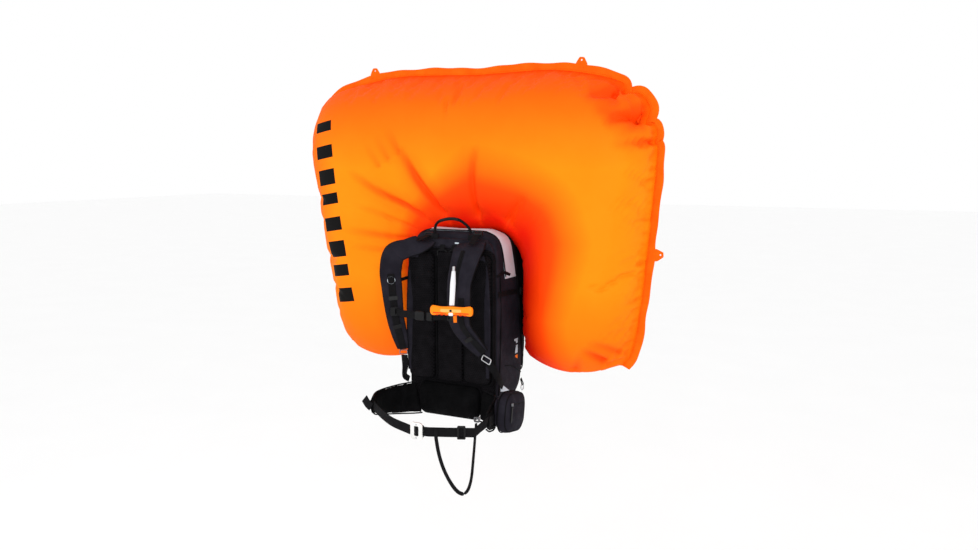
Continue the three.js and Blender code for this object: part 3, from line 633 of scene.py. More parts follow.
def finish_airbag():
    """Refines the inflated cloth and works the creases, gathers and crimps into it."""
    settled = vertices(airbag.data) * 1000 + ORIGIN
    grid = refine(refine(settled[bag_ids], 4, 1), 3, 2)
    x, z = grid[..., 0], grid[..., 2]
    seam = grid[0, :, -1]
    along = np.broadcast_to(lengths(seam)[None, :, None], x.shape)
    steps = np.linalg.norm(np.diff(grid, axis=2), axis=-1)
    inner = np.concatenate([np.zeros(steps.shape[:2] + (1,)), np.cumsum(steps, axis=2)], axis=2)
    outer = inner[..., -1:] - inner
    notch = np.broadcast_to(lengths(grid[0, :, 0])[None, :, None], x.shape)
    out = unit(np.cross(np.gradient(grid, axis=1), np.gradient(grid, axis=2)))
    out = out * np.array([1.0, -1.0])[:, None, None, None]
    out = out * np.where((out[..., 1:2] * (grid[..., 1:2] - BAG_MIDDLE)).mean(axis=(1, 2), keepdims=True) < 0,
                         -1, 1)
    total = along.max()
    right = lambda k: 0.25 + 0.9 * max(0.0, min(1.0, (k - 0.5) * 4)) * (1 if k < 0.97 else 0.4)
    pull = crimps(along, outer, total, 27, 7.5, 105, 3, right)
    pull += crimps(along, outer, total, 15, 1.8, 60, 5, right)
    pull += crimps(notch, inner, notch.max(), 24, 5.0, 120, 7)
    ripple = 1.6 * np.sin(x / 61 + np.sin(z / 47)) * np.sin(z / 53 + 1)
    front = sum(groove(x[0], z[0], points, depth, width) for points, depth, width in CREASES)
    pull[0] += front
    pull[1] += 0.6 * groove(x[1], z[1], [(-60, 545), (-150, 700)], 14, 9)
    pull[1] += 0.6 * groove(x[1], z[1], [(70, 545), (160, 700)], 14, 9)
    edge = np.clip(np.minimum(inner, outer) / 10, 0, 1)
    grid = grid + out * ((ripple - pull) * edge)[..., None]
    centre_line = grid[:, :, n_across * 3 // 2][:, :, None]
    for (gx, gz), depth, width in GATHERS:
        k = np.argmin((seam[:, 0] - gx) ** 2 + (seam[:, 2] - gz) ** 2)
        near = np.exp(-((along - along[0, k, 0]) / width) ** 2) * np.exp(-outer / 70)
        inward = unit((centre_line[:, k:k + 1] - grid) * np.array([1, 0, 1]))
        grid = grid + inward * (near * depth)[..., None]
    kept, _, quads = bag_faces(grid.shape[:3])
    uv = np.stack([along, inner], axis=-1).reshape(-1, 2)[kept]
    fresh = piece("airbag_fine", grid.reshape(-1, 3)[kept], quads, airbag_cloth_look,
                  uvs=uv)
    # painted shade: how deep each point lies in a crease or crimp, kept on the mesh for the material to paint
    # as red shade
    crease_shade = fresh.data.attributes.new("crease_shade", "FLOAT", "POINT")
    crease_shade.data.foreach_set("value", np.clip((pull * edge - 2.0) / 13, 0,
                                           1).reshape(-1)[kept].astype(np.float32))
    airbag.data = fresh.data
    bpy.data.objects.remove(fresh)
    fix_normals(airbag)
    return grid


PRINT_TOP, PRINT_FOOT = (-492, 0, 842), (-404, 0, 268)   # the column of bars, in pack space
PRINT_PITCH, PRINT_HALF = 0.074, 0.037            # metres down the column, and half its width


def airbag_look():
    """Coated ripstop: a fine grid of thicker threads, and painted shade: deep red where the panels meet round
    the pack, redder towards its top, left side and feet, and in its creases.
    """
    look = Look("airbag_coated", rough=0.62, specular=0.06)
    uv = look.node("ShaderNodeSeparateXYZ", {0: look.place("UV")}, 0).node
    xyz = look.node("ShaderNodeSeparateXYZ", {0: look.place()}, 0).node
    along, inward = uv.outputs[0], uv.outputs[1]
    x, z = xyz.outputs[0], xyz.outputs[2]

    def grid_line(value, pitch):
        return look.step(look.math("PINGPONG", value, pitch / 2), 0.0, 0.5, 1.0, 0.0)

    rip = look.math("MAXIMUM", grid_line(along, 5.0), grid_line(inward, 5.0))
    mottle = look.noise(look.place(), 7, 4)
    base = look.mix(look.step(mottle, 0.35, 0.7, 0.0, 0.3), ORANGE, (1.0, 0.29, 0.006))
    # painted shade: the panel is coloured redder towards the top, the left side and the feet of the bag,
    # where it turns away from the light
    shade = look.math("MAXIMUM", look.step(z, 0.66, 0.93, 0.0, 0.92), look.step(x, -0.60, -0.43, 0.85, 0.0))
    shade = look.math("MAXIMUM", shade, look.step(z, 0.02, 0.34, 0.7, 0.0))
    base = look.mix(shade, base, (1.0, 0.062, 0.001))
    # painted shade: round the pack the two panels nearly touch, and the shade and red bounced light between
    # them are painted in deep red
    reach_in = look.step(x, -0.22, 0.02, 165, 350)
    reach_in = look.math("MULTIPLY", reach_in, look.step(z, 0.24, 0.46, 0.72, 1.0))
    deep = look.step(look.math("DIVIDE", inward, reach_in), 0.34, 1.0, 1.0, 0.0)
    base = look.mix(look.step(deep, 0.0, 0.5), base, (1.0, 0.075, 0.0008))
    base = look.mix(look.step(deep, 0.35, 0.95), base, GAP_SHADE_RED)
    # painted shade: the cloth is coloured deep red in its creases and crimps
    crease_shade = look.node("ShaderNodeAttribute", {}, 2, attribute_name="crease_shade")
    base = look.mix(look.math("MULTIPLY", crease_shade, 0.85), base, (0.95, 0.055, 0.0006))
    base = look.mix(look.math("MULTIPLY", rip, 0.08), base, (0.75, 0.10, 0.001))
    # a column of plain bars of unequal width down the left arm
    top, low = place(PRINT_TOP), place(PRINT_FOOT)
    run = low - top
    reach = float(np.hypot(run[0], run[2]))
    dx, dz = run[0] / reach, run[2] / reach
    sx = look.math("SUBTRACT", x, float(top[0]))
    sz = look.math("SUBTRACT", z, float(top[2]))
    down = look.math("ADD", look.math("MULTIPLY", sx, dx), look.math("MULTIPLY", sz, dz))
    side = look.math("SUBTRACT", look.math("MULTIPLY", sx, dz), look.math("MULTIPLY", sz, dx))
    slot_number = look.math("FLOOR", look.math("DIVIDE", down, PRINT_PITCH))
    place_in = look.math("FRACT", look.math("DIVIDE", down, PRINT_PITCH))
    wide = look.math("MULTIPLY", look.math("FRACT", look.math("MULTIPLY", slot_number, 0.37)), 0.3)
    band = look.math("LESS_THAN", place_in, look.math("ADD", wide, 0.42))
    inside = look.math("LESS_THAN", look.math("ABSOLUTE", side), PRINT_HALF)
    span = look.math("MULTIPLY", look.math("GREATER_THAN", down, 0.0), look.math("LESS_THAN", down, reach))
    front = look.math("LESS_THAN", xyz.outputs[1], (BAG_MIDDLE - LUMBAR_FACE) * 0.001)
    print_on = look.math("MULTIPLY", look.math("MULTIPLY", band, inside), look.math("MULTIPLY", span, front))
    base = look.mix(print_on, base, (0.004, 0.0035, 0.0035))
    height = look.math("ADD", rip, look.math("MULTIPLY", look.noise(look.place(), 500, 2), 0.3))
    return look.finish(base, height, 0.12, 0.0003)


airbag_cloth_look = airbag_look()
flange_look = cloth_look("airbag_flange", (1.0, 0.115, 0.001), (1.0, 0.18, 0.003), 1.2, 0.6, 0.0, 0.2)


def flange(grid):
    """The welded margin outside the outer seam, with its row of stitches."""
    seam = grid[0, :, -1]
    tangent = unit(np.gradient(seam, axis=0))
    outward = np.cross(tangent, np.array([0.0, 1.0, 0.0]))
    flip = np.sign((outward * (seam - grid[0, :, len(grid[0, 0]) // 2])).sum(1, keepdims=True))
    outward = unit(outward * flip)
    along = lengths(seam)
    width = FLANGE + 1.6 * np.sin(along / 37) + 1.2 * np.sin(along / 17 + 1)
    left = np.clip((-seam[:, 0] - 380) / 120, 0, 1) * np.clip((930 - seam[:, 2]) / 120, 0, 1)
    width = width * (1 - 0.6 * left)
    wave = 2.2 * np.sin(along / 24) + 1.6 * np.sin(along / 11 + 2)
    centre = seam + outward * (width / 2 - 1)[:, None] + np.array([0, 1, 0]) * wave[:, None] * 0.5
    rail = Rail(centre, outward, np.cross(tangent, outward), width, np.full(len(seam), 1.6))
    strip = sweep("airbag_flange", rail, FLAT, flange_look)
    for side in (-1, 1):
        row = rail.moved(across=-0.55, out=side * 0.2)
        dashes(f"airbag_stitches_{'front' if side > 0 else 'back'}", row, 5.5, 3.4, flange_look, size=1.0)
    return strip


# ---- pack body ---------------------------------------------------------------------------------------
# The outer form is where a side profile, a face outline and a plan outline meet, softened where they cross.
HALF_WIDTH, PACK_BACK = 148, 16
SIDE = [(16, 0), *curve([(16, 505), (30, 531), (70, 541), (112, 531), (160, 500), (208, 437), (238, 350),
                         (246, 270), (240, 190), (220, 130), (192, 60), (165, 10), (150, 0)], 60)]
HALF_FACE = curve([(112, 0), (138, 40), (146, 140), (148, 300), (145, 450), (133, 508), (96, 541)], 40)
HALF_PLAN = curve([(148, 170), (138, 218), (112, 240), (80, 246)], 16)
FACE = [*HALF_FACE, *(HALF_FACE * [-1, 1])[::-1]]
PLAN = [(148, 16), *HALF_PLAN, *(HALF_PLAN * [-1, 1])[::-1], (-148, 16)]
MIDDLE = np.array([0.0, 131.0, 270.0])


def half_planes(outline, middle):
    p = np.asarray(outline, float) - middle
    edge = np.roll(p, -1, axis=0) - p
    keep = np.linalg.norm(edge, axis=1) > 1e-6
    p, edge = p[keep], edge[keep]
    normal = unit(np.stack([edge[:, 1], -edge[:, 0]], axis=1))
    normal *= np.sign((normal * p).sum(1, keepdims=True))
    return normal, (normal * p).sum(1)


PROFILES = [((1, 2), *half_planes(SIDE, MIDDLE[[1, 2]])), ((0, 2), *half_planes(FACE, MIDDLE[[0, 2]])),
            ((0, 1), *half_planes(PLAN, MIDDLE[[0, 1]]))]


def reach_of(direction):
    """How far the pack's surface is from its middle in each direction."""
    total = 0
    for axes, normal, offset in PROFILES:
        lean = direction[:, axes] @ normal.T
        total = total + (np.where(lean > 1e-6, lean, 1e-6) / offset).max(axis=1) ** 15
    return total ** (-1 / 15)


def depth_in(points):
    away = points - MIDDLE
    far = np.linalg.norm(away, axis=1)
    return far / reach_of(away / np.maximum(far, 1e-9)[:, None])


def hit(origins, directions):
    """Where lines from inside the pack meet its surface."""
    origins, directions = np.broadcast_arrays(np.asarray(origins, float), np.asarray(directions, float))
    low, high = np.zeros(len(origins)), np.full(len(origins), 420.0)
    for _ in range(26):
        mid = (low + high) / 2
        inside = depth_in(origins + directions * mid[:, None]) < 1
        low, high = np.where(inside, mid, low), np.where(inside, high, mid)
    return origins + directions * low[:, None]


def outward(points):
    grad = [depth_in(points + step) - depth_in(points - step) for step in np.eye(3) * 1.5]
    return unit(np.stack(grad, axis=1))


def skin_rail(points, width, thick, lift=0.0):
    """A rail that lies on the pack's surface."""
    out = outward(points)
    tangent = unit(np.gradient(points, axis=0))
    n = len(points)
    return Rail(points + out * (lift + thick / 2), unit(np.cross(out, tangent)), out,
                np.full(n, float(width)), np.full(n, float(thick)))


def on_front(points, count):
    line = curve(points, count)
    start = np.stack([line[:, 0], np.full(count, MIDDLE[1]), line[:, 1]], axis=1)
    return hit(start, [[0.0, 1.0, 0.0]])


def on_side(points, count, sign=1):
    line = curve(points, count)
    start = np.stack([np.zeros(count), line[:, 0], line[:, 1]], axis=1)
    return hit(start, [[float(sign), 0.0, 0.0]])


SEAM_LEAN, SEAM_FOOT = 0.2, 220.2                 # the seam plane is y = SEAM_FOOT - SEAM_LEAN z
SEAM_NORMAL = unit(np.array([0.0, 1.0, SEAM_LEAN]))


def round_the_pack(shift, start=0.0, end=360.0, count=160):
    """The line where the seam plane, moved along y, meets the surface; 0 degrees is +X, 90 is up."""
    turn = np.radians(np.linspace(start, end, count))
    centre = np.array([0.0, SEAM_FOOT - SEAM_LEAN * MIDDLE[2] + shift, MIDDLE[2]])
    up = unit(np.array([0.0, -SEAM_LEAN, 1.0]))
    return hit(centre, np.cos(turn)[:, None] * [1.0, 0, 0] + np.sin(turn)[:, None] * up)


def body_grid(count):
    """The whole form as a closed mesh: a cube's grid blown out to the surface."""
    line = np.linspace(-1, 1, count)
    u, v = np.meshgrid(line, line, indexing="ij")
    verts, faces = [], []
    for axis in range(3):
        for sign in (-1, 1):
            cube = np.stack([np.full(u.size, float(sign)), u.ravel(), v.ravel()], axis=1)
            cube = np.roll(cube, axis, axis=1) * [HALF_WIDTH, 115, 270]
            number = np.arange(u.size).reshape(count, count) + len(verts) * u.size
            quads = [number[:-1, :-1], number[1:, :-1], number[1:, 1:], number[:-1, 1:]]
            faces.append(np.stack(quads if sign > 0 else quads[::-1], axis=-1).reshape(-1, 4))
            verts.append(cube)
    verts = unit(np.concatenate(verts))
    verts = MIDDLE + verts * reach_of(verts)[:, None]
    return verts, np.concatenate(faces)


def buckle(points, out):
    """Cloth that hangs between its seams: a soft unevenness, stronger on the sides."""
    x, y, z = points.T
    soft = (np.sin(z / 31 + y / 47) * np.sin(y / 26 + x / 60)
            + 0.6 * np.sin(z / 17 + x / 23 + 2) * np.sin(y / 19))
    calm = np.clip((y - PACK_BACK - 4) / 30, 0, 1)
    return points + out * (soft * 1.5 * calm)[:, None]


form_verts, form_faces = body_grid(84)
form_verts = buckle(form_verts, outward(form_verts))
form = bmesh.new()
form_points = [form.verts.new(p) for p in form_verts]
for face in form_faces:
    form.faces.new([form_points[k] for k in face])
bmesh.ops.remove_doubles(form, verts=form.verts, dist=0.05)
bmesh.ops.recalc_face_normals(form, faces=form.faces)


def panel_of(name, cuts, material, body, drop=None, thick=4.0, lift=0.0):
    """A piece of the pack's skin: cuts are (point, normal) whose far side goes; drop is a box left out."""
    bm = form.copy()
    for point, normal in cuts:
        everything = list(bm.verts) + list(bm.edges) + list(bm.faces)
        bmesh.ops.bisect_plane(bm, geom=everything, plane_co=point, plane_no=normal, clear_outer=True,
                               dist=0.01)
    if drop:
        (x, low, high, beyond) = drop
        for point, normal in (((x, 0, 0), (1, 0, 0)), ((-x, 0, 0), (1, 0, 0)), ((0, 0, low), (0, 0, 1)),
                              ((0, 0, high), (0, 0, 1))):
            everything = list(bm.verts) + list(bm.edges) + list(bm.faces)
            bmesh.ops.bisect_plane(bm, geom=everything, plane_co=point, plane_no=normal, dist=0.01)
        gone = [f for f in bm.faces if abs(f.calc_center_median().x) < x and f.calc_center_median().y > beyond
                and low < f.calc_center_median().z < high]
        bmesh.ops.delete(bm, geom=gone, context="FACES")
    bm.normal_update()
    if lift:
        for vert in bm.verts:
            vert.co = vert.co + vert.normal * lift
    mesh_verts = np.array([v.co for v in bm.verts])
    bm.verts.index_update()
    obj = piece(name, mesh_verts, [[v.index for v in f.verts] for f in bm.faces], material, body)
    bm.free()
    shell = obj.modifiers.new("shell", "SOLIDIFY")
    shell.thickness = thick * 0.001
    shell.offset = -1
    shell.use_even_offset = True
    bake(obj)
    return obj


def seam_plane(shift):
    return ((0, SEAM_FOOT + shift, 0), SEAM_NORMAL)


def behind(shift):
    return ((0, SEAM_FOOT + shift, 0), -SEAM_NORMAL)


PANEL_HALF, PANEL_LOW, PANEL_HIGH = 118, 75, 420
pack_shell = panel_of("pack_shell_cloth", [seam_plane(-0.3)], shell_cloth, "pack",
                      (PANEL_HALF, PANEL_LOW, PANEL_HIGH, 150))
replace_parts(pack_shell, "pack_shell")
compartment = panel_of("airbag_compartment_cloth", [behind(0.3)], black_cloth, "pack",
                       (PANEL_HALF, PANEL_LOW, PANEL_HIGH, 150))
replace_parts(compartment, "airbag_compartment")
front_panel = panel_of("front_panel_cloth", [((PANEL_HALF - 1, 0, 0), (1, 0, 0)),
                                             ((1 - PANEL_HALF, 0, 0), (-1, 0, 0)),
                                             ((0, 0, PANEL_HIGH - 1), (0, 0, 1)),
                                             ((0, 0, PANEL_LOW + 1), (0, 0, -1)), ((0, 152, 0), (0, -1, 0))],
                       shell_cloth, "front_panel")
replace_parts(front_panel, "front_panel")
light_band = panel_of("light_band_cloth", [behind(-72), seam_plane(-5), ((0, 0, 392), (0, 0, -1))],
                      light_cloth, "pack", thick=1.8, lift=2.0)
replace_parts(light_band, "light_band")
for name, shift in (("band_piping_back", -72), ("band_piping_front", -5)):
    line = round_the_pack(shift)
    line = line[(line[:, 2] > 396)]
    sweep(name, skin_rail(line, 4, 3.4, 0.4), ROUND, binding)
compartment_line = round_the_pack(3, -62, 242, 260)
sweep("compartment_piping", skin_rail(compartment_line, 5, 4.2, -0.4), ROUND, binding)
compartment_zip = skin_rail(round_the_pack(11, -58, 238, 300), 9, 1.4, 0.3)
sweep("compartment_tape", compartment_zip, FLAT, binding)


def zip_line(name, rail, body, tape=15.0, coil=4.6):
    """A coil zip: its tape, the ribbed coil down the middle and a row of stitches each side."""
    tape_rail = Rail(rail.centre, rail.across, rail.normal, np.full(len(rail.centre), tape),
                     rail.thick * 0 + 1.0)
    sweep(name + "_tape", tape_rail, FLAT, binding, body)
    sweep(name + "_coil", tape_rail.moved(out=0.3, width=coil, thick=2.0), ROUND, webbing, body)
    for side in (-1, 1):
        dashes(f"{name}_stitches_{'a' if side < 0 else 'b'}", tape_rail.moved(across=0.72 * side, out=0.1),
               4.2, 2.6, thread_light, body, size=0.7)


panel_edge = on_front([(-109, 84), (-111, 200), (-110, 330), (-104, 392), (-84, 410), (0, 412), (84, 410),
                       (104, 392), (110, 330), (111, 200), (109, 84)], 260)
zip_line("panel_zip", skin_rail(panel_edge, 15, 1.0, 0.2), "front_panel")
for k, height in enumerate((150, 285)):
    line = on_front([(-96, height), (0, height - 5), (96, height)], 90)
    dashes(f"panel_stitches_{k}", skin_rail(line, 1, 1, 0.1), 4.4, 2.8, thread_light, "front_panel")
tool_line = on_front([(-86, 118), (-40, 200), (-40, 300), (-86, 380)], 110)
sweep("panel_strap_left", skin_rail(tool_line, 20, 1.7, 0.4), FLAT, webbing, "front_panel")
tool_line = tool_line * [-1, 1, 1]
sweep("panel_strap_right", skin_rail(tool_line[::-1], 20, 1.7, 0.4), FLAT, webbing, "front_panel")

# side pockets: a panel on each flank whose hem slopes down to the front, its strap and its light corner
for side_name, sign in (("left", -1), ("right", 1)):
    hem = on_side([(24, 404), (53, 412), (104, 399), (155, 384), (180, 372)], 90, sign)
    sweep(f"side_hem_{side_name}", skin_rail(hem, 9, 1.6, 0.1), FLAT, binding)
    dashes(f"side_hem_stitches_{side_name}", skin_rail(hem, 9, 1.6, 0.1).moved(across=0.6, out=0.05), 4.2,
           2.6, thread_light, size=0.8)
    gusset = on_side([(36, 400), (40, 300), (38, 180), (34, 60)], 120, sign)
    sweep(f"side_gusset_{side_name}", skin_rail(gusset, 3.4, 3.0, -0.2), ROUND, binding)
    strap_line = on_side([(26, 352), (80, 350), (150, 346), (196, 338)], 60, sign)
    sweep(f"side_strap_{side_name}", skin_rail(strap_line, 15, 1.6, 0.3), FLAT, webbing)
    foot = on_side([(70, 140), (120, 128), (186, 96)], 50, sign)
    sweep(f"side_foot_seam_{side_name}", skin_rail(foot, 3, 2.4, -0.2), ROUND, binding)


def patch(name, corners, steps, material, lift, thick=1.4):
    """A flat patch sewn on the right side, from four corners given as (y, z)."""
    a, b, c, d = (np.array(q, float) for q in corners)
    u, v = np.meshgrid(np.linspace(0, 1, steps), np.linspace(0, 1, steps), indexing="ij")
    u, v = u.reshape(-1, 1), v.reshape(-1, 1)
    flat = (a * (1 - u) + b * u) * (1 - v) + (d * (1 - u) + c * u) * v
    zero = np.zeros(len(flat))
    points = hit(np.stack([zero, flat[:, 0], flat[:, 1]], axis=1), [[1.0, 0, 0]])
    out = outward(points)
    low, high = points + out * lift, points + out * (lift + thick)
    number = np.arange(steps * steps).reshape(steps, steps)
    quads = np.stack([number[:-1, :-1], number[1:, :-1], number[1:, 1:], number[:-1, 1:]],
                     axis=-1).reshape(-1, 4)
    rim = np.concatenate([number[:-1, 0], number[-1, :-1], number[:0:-1, -1], number[0, :0:-1]])
    n = steps * steps
    walls = [[p, q, q + n, p + n] for p, q in zip(rim, np.roll(rim, -1))]
    faces = (quads + n).tolist() + quads[:, ::-1].tolist() + walls
    fix_normals(piece(name, np.concatenate([low, high]), faces, material, smooth=False))


BARS = [(118, 138, light_cloth), (144, 156, orange_web), (162, 186, light_cloth), (192, 206, light_cloth)]
patch("side_corner_patch", [(44, 104), (46, 92), (110, 55), (44, 70)], 9, light_cloth, 0.3)
for k, (low, high, look) in enumerate(BARS):
    patch(f"side_bar_{k}", [(132, low), (156, low), (156, high), (132, high)], 5, look, 0.2, 0.5)


# the cloth throat that joins the compartment to the bag's inner seam
notch_seam = spline(bag_edges()[0], np.linspace(0.5, 13.5, 220))
notch_seam = np.stack([notch_seam[:, 0], np.full(220, float(BAG_MIDDLE)), notch_seam[:, 1]], axis=1)
throat_middle = np.array([0.0, BAG_MIDDLE, MIDDLE[2]])
throat_skin = hit(throat_middle, unit(notch_seam - throat_middle))
throat_width = np.linalg.norm(notch_seam - throat_skin, axis=1)
throat = Rail((notch_seam + throat_skin) / 2, unit(notch_seam - throat_middle),
              np.tile([0.0, 1, 0], (220, 1)), throat_width + 6, np.full(220, 2.4))
sweep("airbag_throat", throat, FLAT, black_cloth)


# ---- hard parts --------------------------------------------------------------------------------------
def rounded(width, height, radius, per_corner=6):
    out = []
    for cx, cy, start in ((1, 1, 0), (-1, 1, 90), (-1, -1, 180), (1, -1, 270)):
        for turn in np.radians(np.linspace(start, start + 90, per_corner)):
            out.append((cx * (width / 2 - radius) + radius * math.cos(turn),
                        cy * (height / 2 - radius) + radius * math.sin(turn)))
    return np.array(out)


def slab(name, at, size, radius, material, body="pack", right=(1, 0, 0), up=(0, 0, 1), hole=None,
         edge=0.7, hole_at=(0, 0)):
    """A rounded plate, size (width, height, depth), with an optional hole (width, height, radius)."""
    right, up = unit(np.array(right, float)), unit(np.array(up, float))
    out = np.cross(right, up)
    rim = rounded(size[0], size[1], radius)
    loops = [rim]
    if hole:
        loops.append(rounded(*hole) + hole_at)
    flat = np.concatenate(loops)
    n = len(rim)
    verts = np.concatenate([np.asarray(at, float) + flat[:, :1] * right + flat[:, 1:] * up
                            + side * size[2] / 2 * out for side in (-1, 1)])
    m = len(flat)
    faces = []
    ring = [(k, (k + 1) % n) for k in range(n)]
    for a, b in ring:
        faces.append([a, b, b + m, a + m])
        if hole:
            faces.append([a + n, a + n + m, b + n + m, b + n])
            faces.append([a + m, b + m, b + n + m, a + n + m])
            faces.append([a, a + n, b + n, b])
    if not hole:
        faces.append(list(range(n))[::-1])
        faces.append(list(range(m, m + n)))
    obj = piece(name, verts, faces, material, body, smooth=False)
    fix_normals(obj)
    if edge:
        bevel = obj.modifiers.new("edge", "BEVEL")
        bevel.width = edge * 0.001
        bevel.segments = 2
        bevel.limit_method = "ANGLE"
        bevel.angle_limit = math.radians(50)
        bake(obj)
        obj.data.polygons.foreach_set("use_smooth", [False] * len(obj.data.polygons))
    return obj


def tube(name, points, radius, count, material, body="pack", sides=12):
    line = curve(points, count)
    tangent = unit(np.gradient(line, axis=0))
    side = unit(np.cross(tangent, np.array([0.31, 0.17, 0.93])))
    rail = Rail(line, side, np.cross(tangent, side), np.full(count, 2.0 * radius),
                np.full(count, 2.0 * radius))
    return sweep(name, rail, superellipse(2, sides), material, body)


def ring_tube(name, at, axis_a, axis_b, radii, thick, material, body="pack"):
    """A closed wire loop in the plane of two directions."""
    turn = np.linspace(0, 2 * math.pi, 49)
    a, b = unit(np.array(axis_a, float)), unit(np.array(axis_b, float))
    corner = superellipse(4 if radii[0] != radii[1] else 2, 48)
    verts, faces = [], []
    for k in range(48):
        c = np.asarray(at, float) + corner[k, 0] * radii[0] * a + corner[k, 1] * radii[1] * b
        before, after = corner[k - 1], corner[(k + 1) % 48]
        along = unit((after[0] - before[0]) * radii[0] * a + (after[1] - before[1]) * radii[1] * b)
        out = np.cross(along, np.cross(a, b))
        for t in turn[:-1:6]:
            verts.append(c + (math.cos(t) * out + math.sin(t) * np.cross(a, b)) * thick / 2)
    for k in range(48):
        for m in range(8):
            faces.append([k * 8 + m, k * 8 + (m + 1) % 8, (k + 1) % 48 * 8 + (m + 1) % 8,
                          (k + 1) % 48 * 8 + m])
    obj = piece(name, verts, faces, material, body)
    fix_normals(obj)
    return obj


# ---- back system -------------------------------------------------------------------------------------
def cushion(name, at, size, radius, crown, material, edge=9):
    """A padded panel facing the wearer (-Y): rings from its back edge round to a crowned face."""
    width, height, thick = size
    rings, verts, faces = 14, [], []
    for k in range(rings):
        turn = k / (rings - 1) * math.pi / 2
        inset = edge * (1 - math.cos(turn))
        outline = rounded(width - 2 * inset, height - 2 * inset, max(radius - inset, 2), 8)
        verts += [(at[0] + u, at[1] + thick / 2 - thick * math.sin(turn) * 0.98, at[2] + w)
                  for u, w in outline]
    n = len(outline)
    inner_w, inner_h = width - 2 * edge, height - 2 * edge
    for k in range(1, 9):
        scale = 1 - k / 9
        shrink = (1 - scale) * min(inner_w, inner_h)
        outline = rounded(inner_w - shrink + 1, inner_h - shrink + 1, max((radius - edge) * scale, 0.5), 8)
        lift = crown * (1 - scale ** 2)
        verts += [(at[0] + u, at[1] - thick / 2 * 0.98 - lift, at[2] + w) for u, w in outline]
    total = rings + 8
    for k in range(total - 1):
        for j in range(n):
            faces.append([k * n + j, k * n + (j + 1) % n, (k + 1) * n + (j + 1) % n, (k + 1) * n + j])
    faces.append(list(range(n)))
    faces.append(list(range((total - 1) * n, total * n))[::-1])
    obj = piece(name, verts, faces, material)
    fix_normals(obj)
    return obj


BACK_FACE = 15.6
back_panel = cushion("back_panel_mesh", (0, BACK_FACE - 5.3, 243), (276, 468, 10.6), 26, 0, mesh_black, 6)
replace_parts(back_panel, "back_panel")
PAD_BACK = BACK_FACE - 11
spine = cushion("spine_mesh_cloth", (0, PAD_BACK - 4, 281), (80, 374, 8), 12, 0, mesh_black, 4)
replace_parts(spine, "spine_mesh")
back_pads = []
for side_name, sign in (("left", -1), ("right", 1)):
    pad = cushion(f"back_pad_{side_name}_foam", (sign * 90, PAD_BACK - 8.5, 281), (89, 373, 16), 20, 1.2,
                  mesh_black, 12)
    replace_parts(pad, f"back_pad_{side_name}")
    puff(pad, 3.0, 3.0, voxel=5)
    back_pads.append(pad)
lumbar = cushion("lumbar_pad_foam", (0, (PAD_BACK - 20) / 2, 41), (199, 97, 24), 22, 1.0, pad_cloth, 14)
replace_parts(lumbar, "lumbar_pad")
puff(lumbar, 3.0, 3.5, voxel=5)


def outline_rail(points, width, thick, y):
    """A rail in the XZ plane at a given y, facing the wearer."""
    line = np.stack([points[:, 0], np.full(len(points), float(y)), points[:, 1]], axis=1)
    tangent = unit(np.gradient(line, axis=0))
    normal = np.broadcast_to(np.array([0.0, -1.0, 0.0]), line.shape)
    return Rail(line, np.cross(normal, tangent), normal, np.full(len(line), float(width)),
                np.full(len(line), float(thick)))


def closed_outline(width, height, radius, at):
    p = rounded(width, height, radius, 10) + at
    return resample(np.vstack([p, p[:1]]), 240)


for side_name, sign in (("left", -1), ("right", 1)):
    rim = closed_outline(90, 374, 20, (sign * 90, 281))
    sweep(f"back_pad_piping_{side_name}", outline_rail(rim, 3.6, 3.6, PAD_BACK - 2.2), ROUND, binding)
rim = closed_outline(200, 98, 22, (0, 41))
sweep("lumbar_piping", outline_rail(rim, 3, 3, PAD_BACK - 5), ROUND, binding)
rim = closed_outline(274, 466, 26, (0, 243))
sweep("back_panel_piping", outline_rail(rim, 4.4, 4.4, BACK_FACE - 2.4), ROUND, binding)

for side_name, sign in (("left", -1), ("right", 1)):
    line = curve([(sign * 104, 462), (sign * 116, 420), (sign * 122, 340), (sign * 124, 240),
                  (sign * 120, 120)], 90)
    border = outline_rail(line, 22, 2.4, PAD_BACK - 17.4)
    sweep(f"back_border_{side_name}", border, FLAT, shell_cloth)
    sweep(f"back_border_seam_{side_name}", border.moved(across=-0.98 * border.across[45][0],
                                                        out=0.2, width=2.6, thick=2.2), ROUND, binding)

# the hidden cloth wall that joins the back panel to the bag
slab("back_wall_cloth", (0, 20, 262), (262, 488, 15), 40, shell_cloth, edge=0.8)

yoke = cushion("yoke_cloth", (0, BACK_FACE - 4, 493), (232, 26, 8), 8, 0.6, shell_cloth, 4)
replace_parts(yoke, "yoke")
for z in (483, 503):
    line = np.stack([np.linspace(-108, 108, 100), np.full(100, z)], axis=1)
    dashes(f"yoke_stitches_{z}", outline_rail(line, 1, 1, 7.4), 4.2, 2.7, thread_light)
slab("yoke_mark", (20, 6.6, 494), (13, 4, 0.8), 1.5, light_cloth, edge=0.2)
for k, x in enumerate((-26, 12)):
    ring_tube(f"yoke_ladder_{k}", (x, 1.5, 463), (1, 0, 0), (0, 0.12, 1), (14, 10), 3.2, plastic)
    rail = Rail.through([((x, 8, 488), 16, 1.6, (1, 0, 0)), ((x, 3, 478), 16, 1.6, (1, 0, 0)),
                         ((x, 0.6, 471), 16, 1.6, (1, 0, 0))], 16)
    sweep(f"yoke_ladder_loop_{k}", rail, FLAT, webbing)

# ---- haul loop ---------------------------------------------------------------------------------------
haul = tube("haul_loop_cord", [(-50, 4, 521), (-44, 1, 544), (-28, -3, 556), (4, -7, 563), (34, -8, 561),
                               (54, -5, 549), (64, 0, 536), (66, 4, 524)], 3.9, 90, webbing, "haul_loop",
            sides=16)
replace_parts(haul, "haul_loop")
tube("haul_sleeve", [(-28, -3, 556), (-12, -5.2, 560.4), (4, -7, 563), (20, -8, 563.2), (34, -8, 561)], 4.5,
     50, plastic, "haul_loop", sides=16)
for name, x in (("left", -50), ("right", 66)):
    slab(f"haul_anchor_{name}", (x, 6.5, 512), (20, 16, 5), 3, webbing)

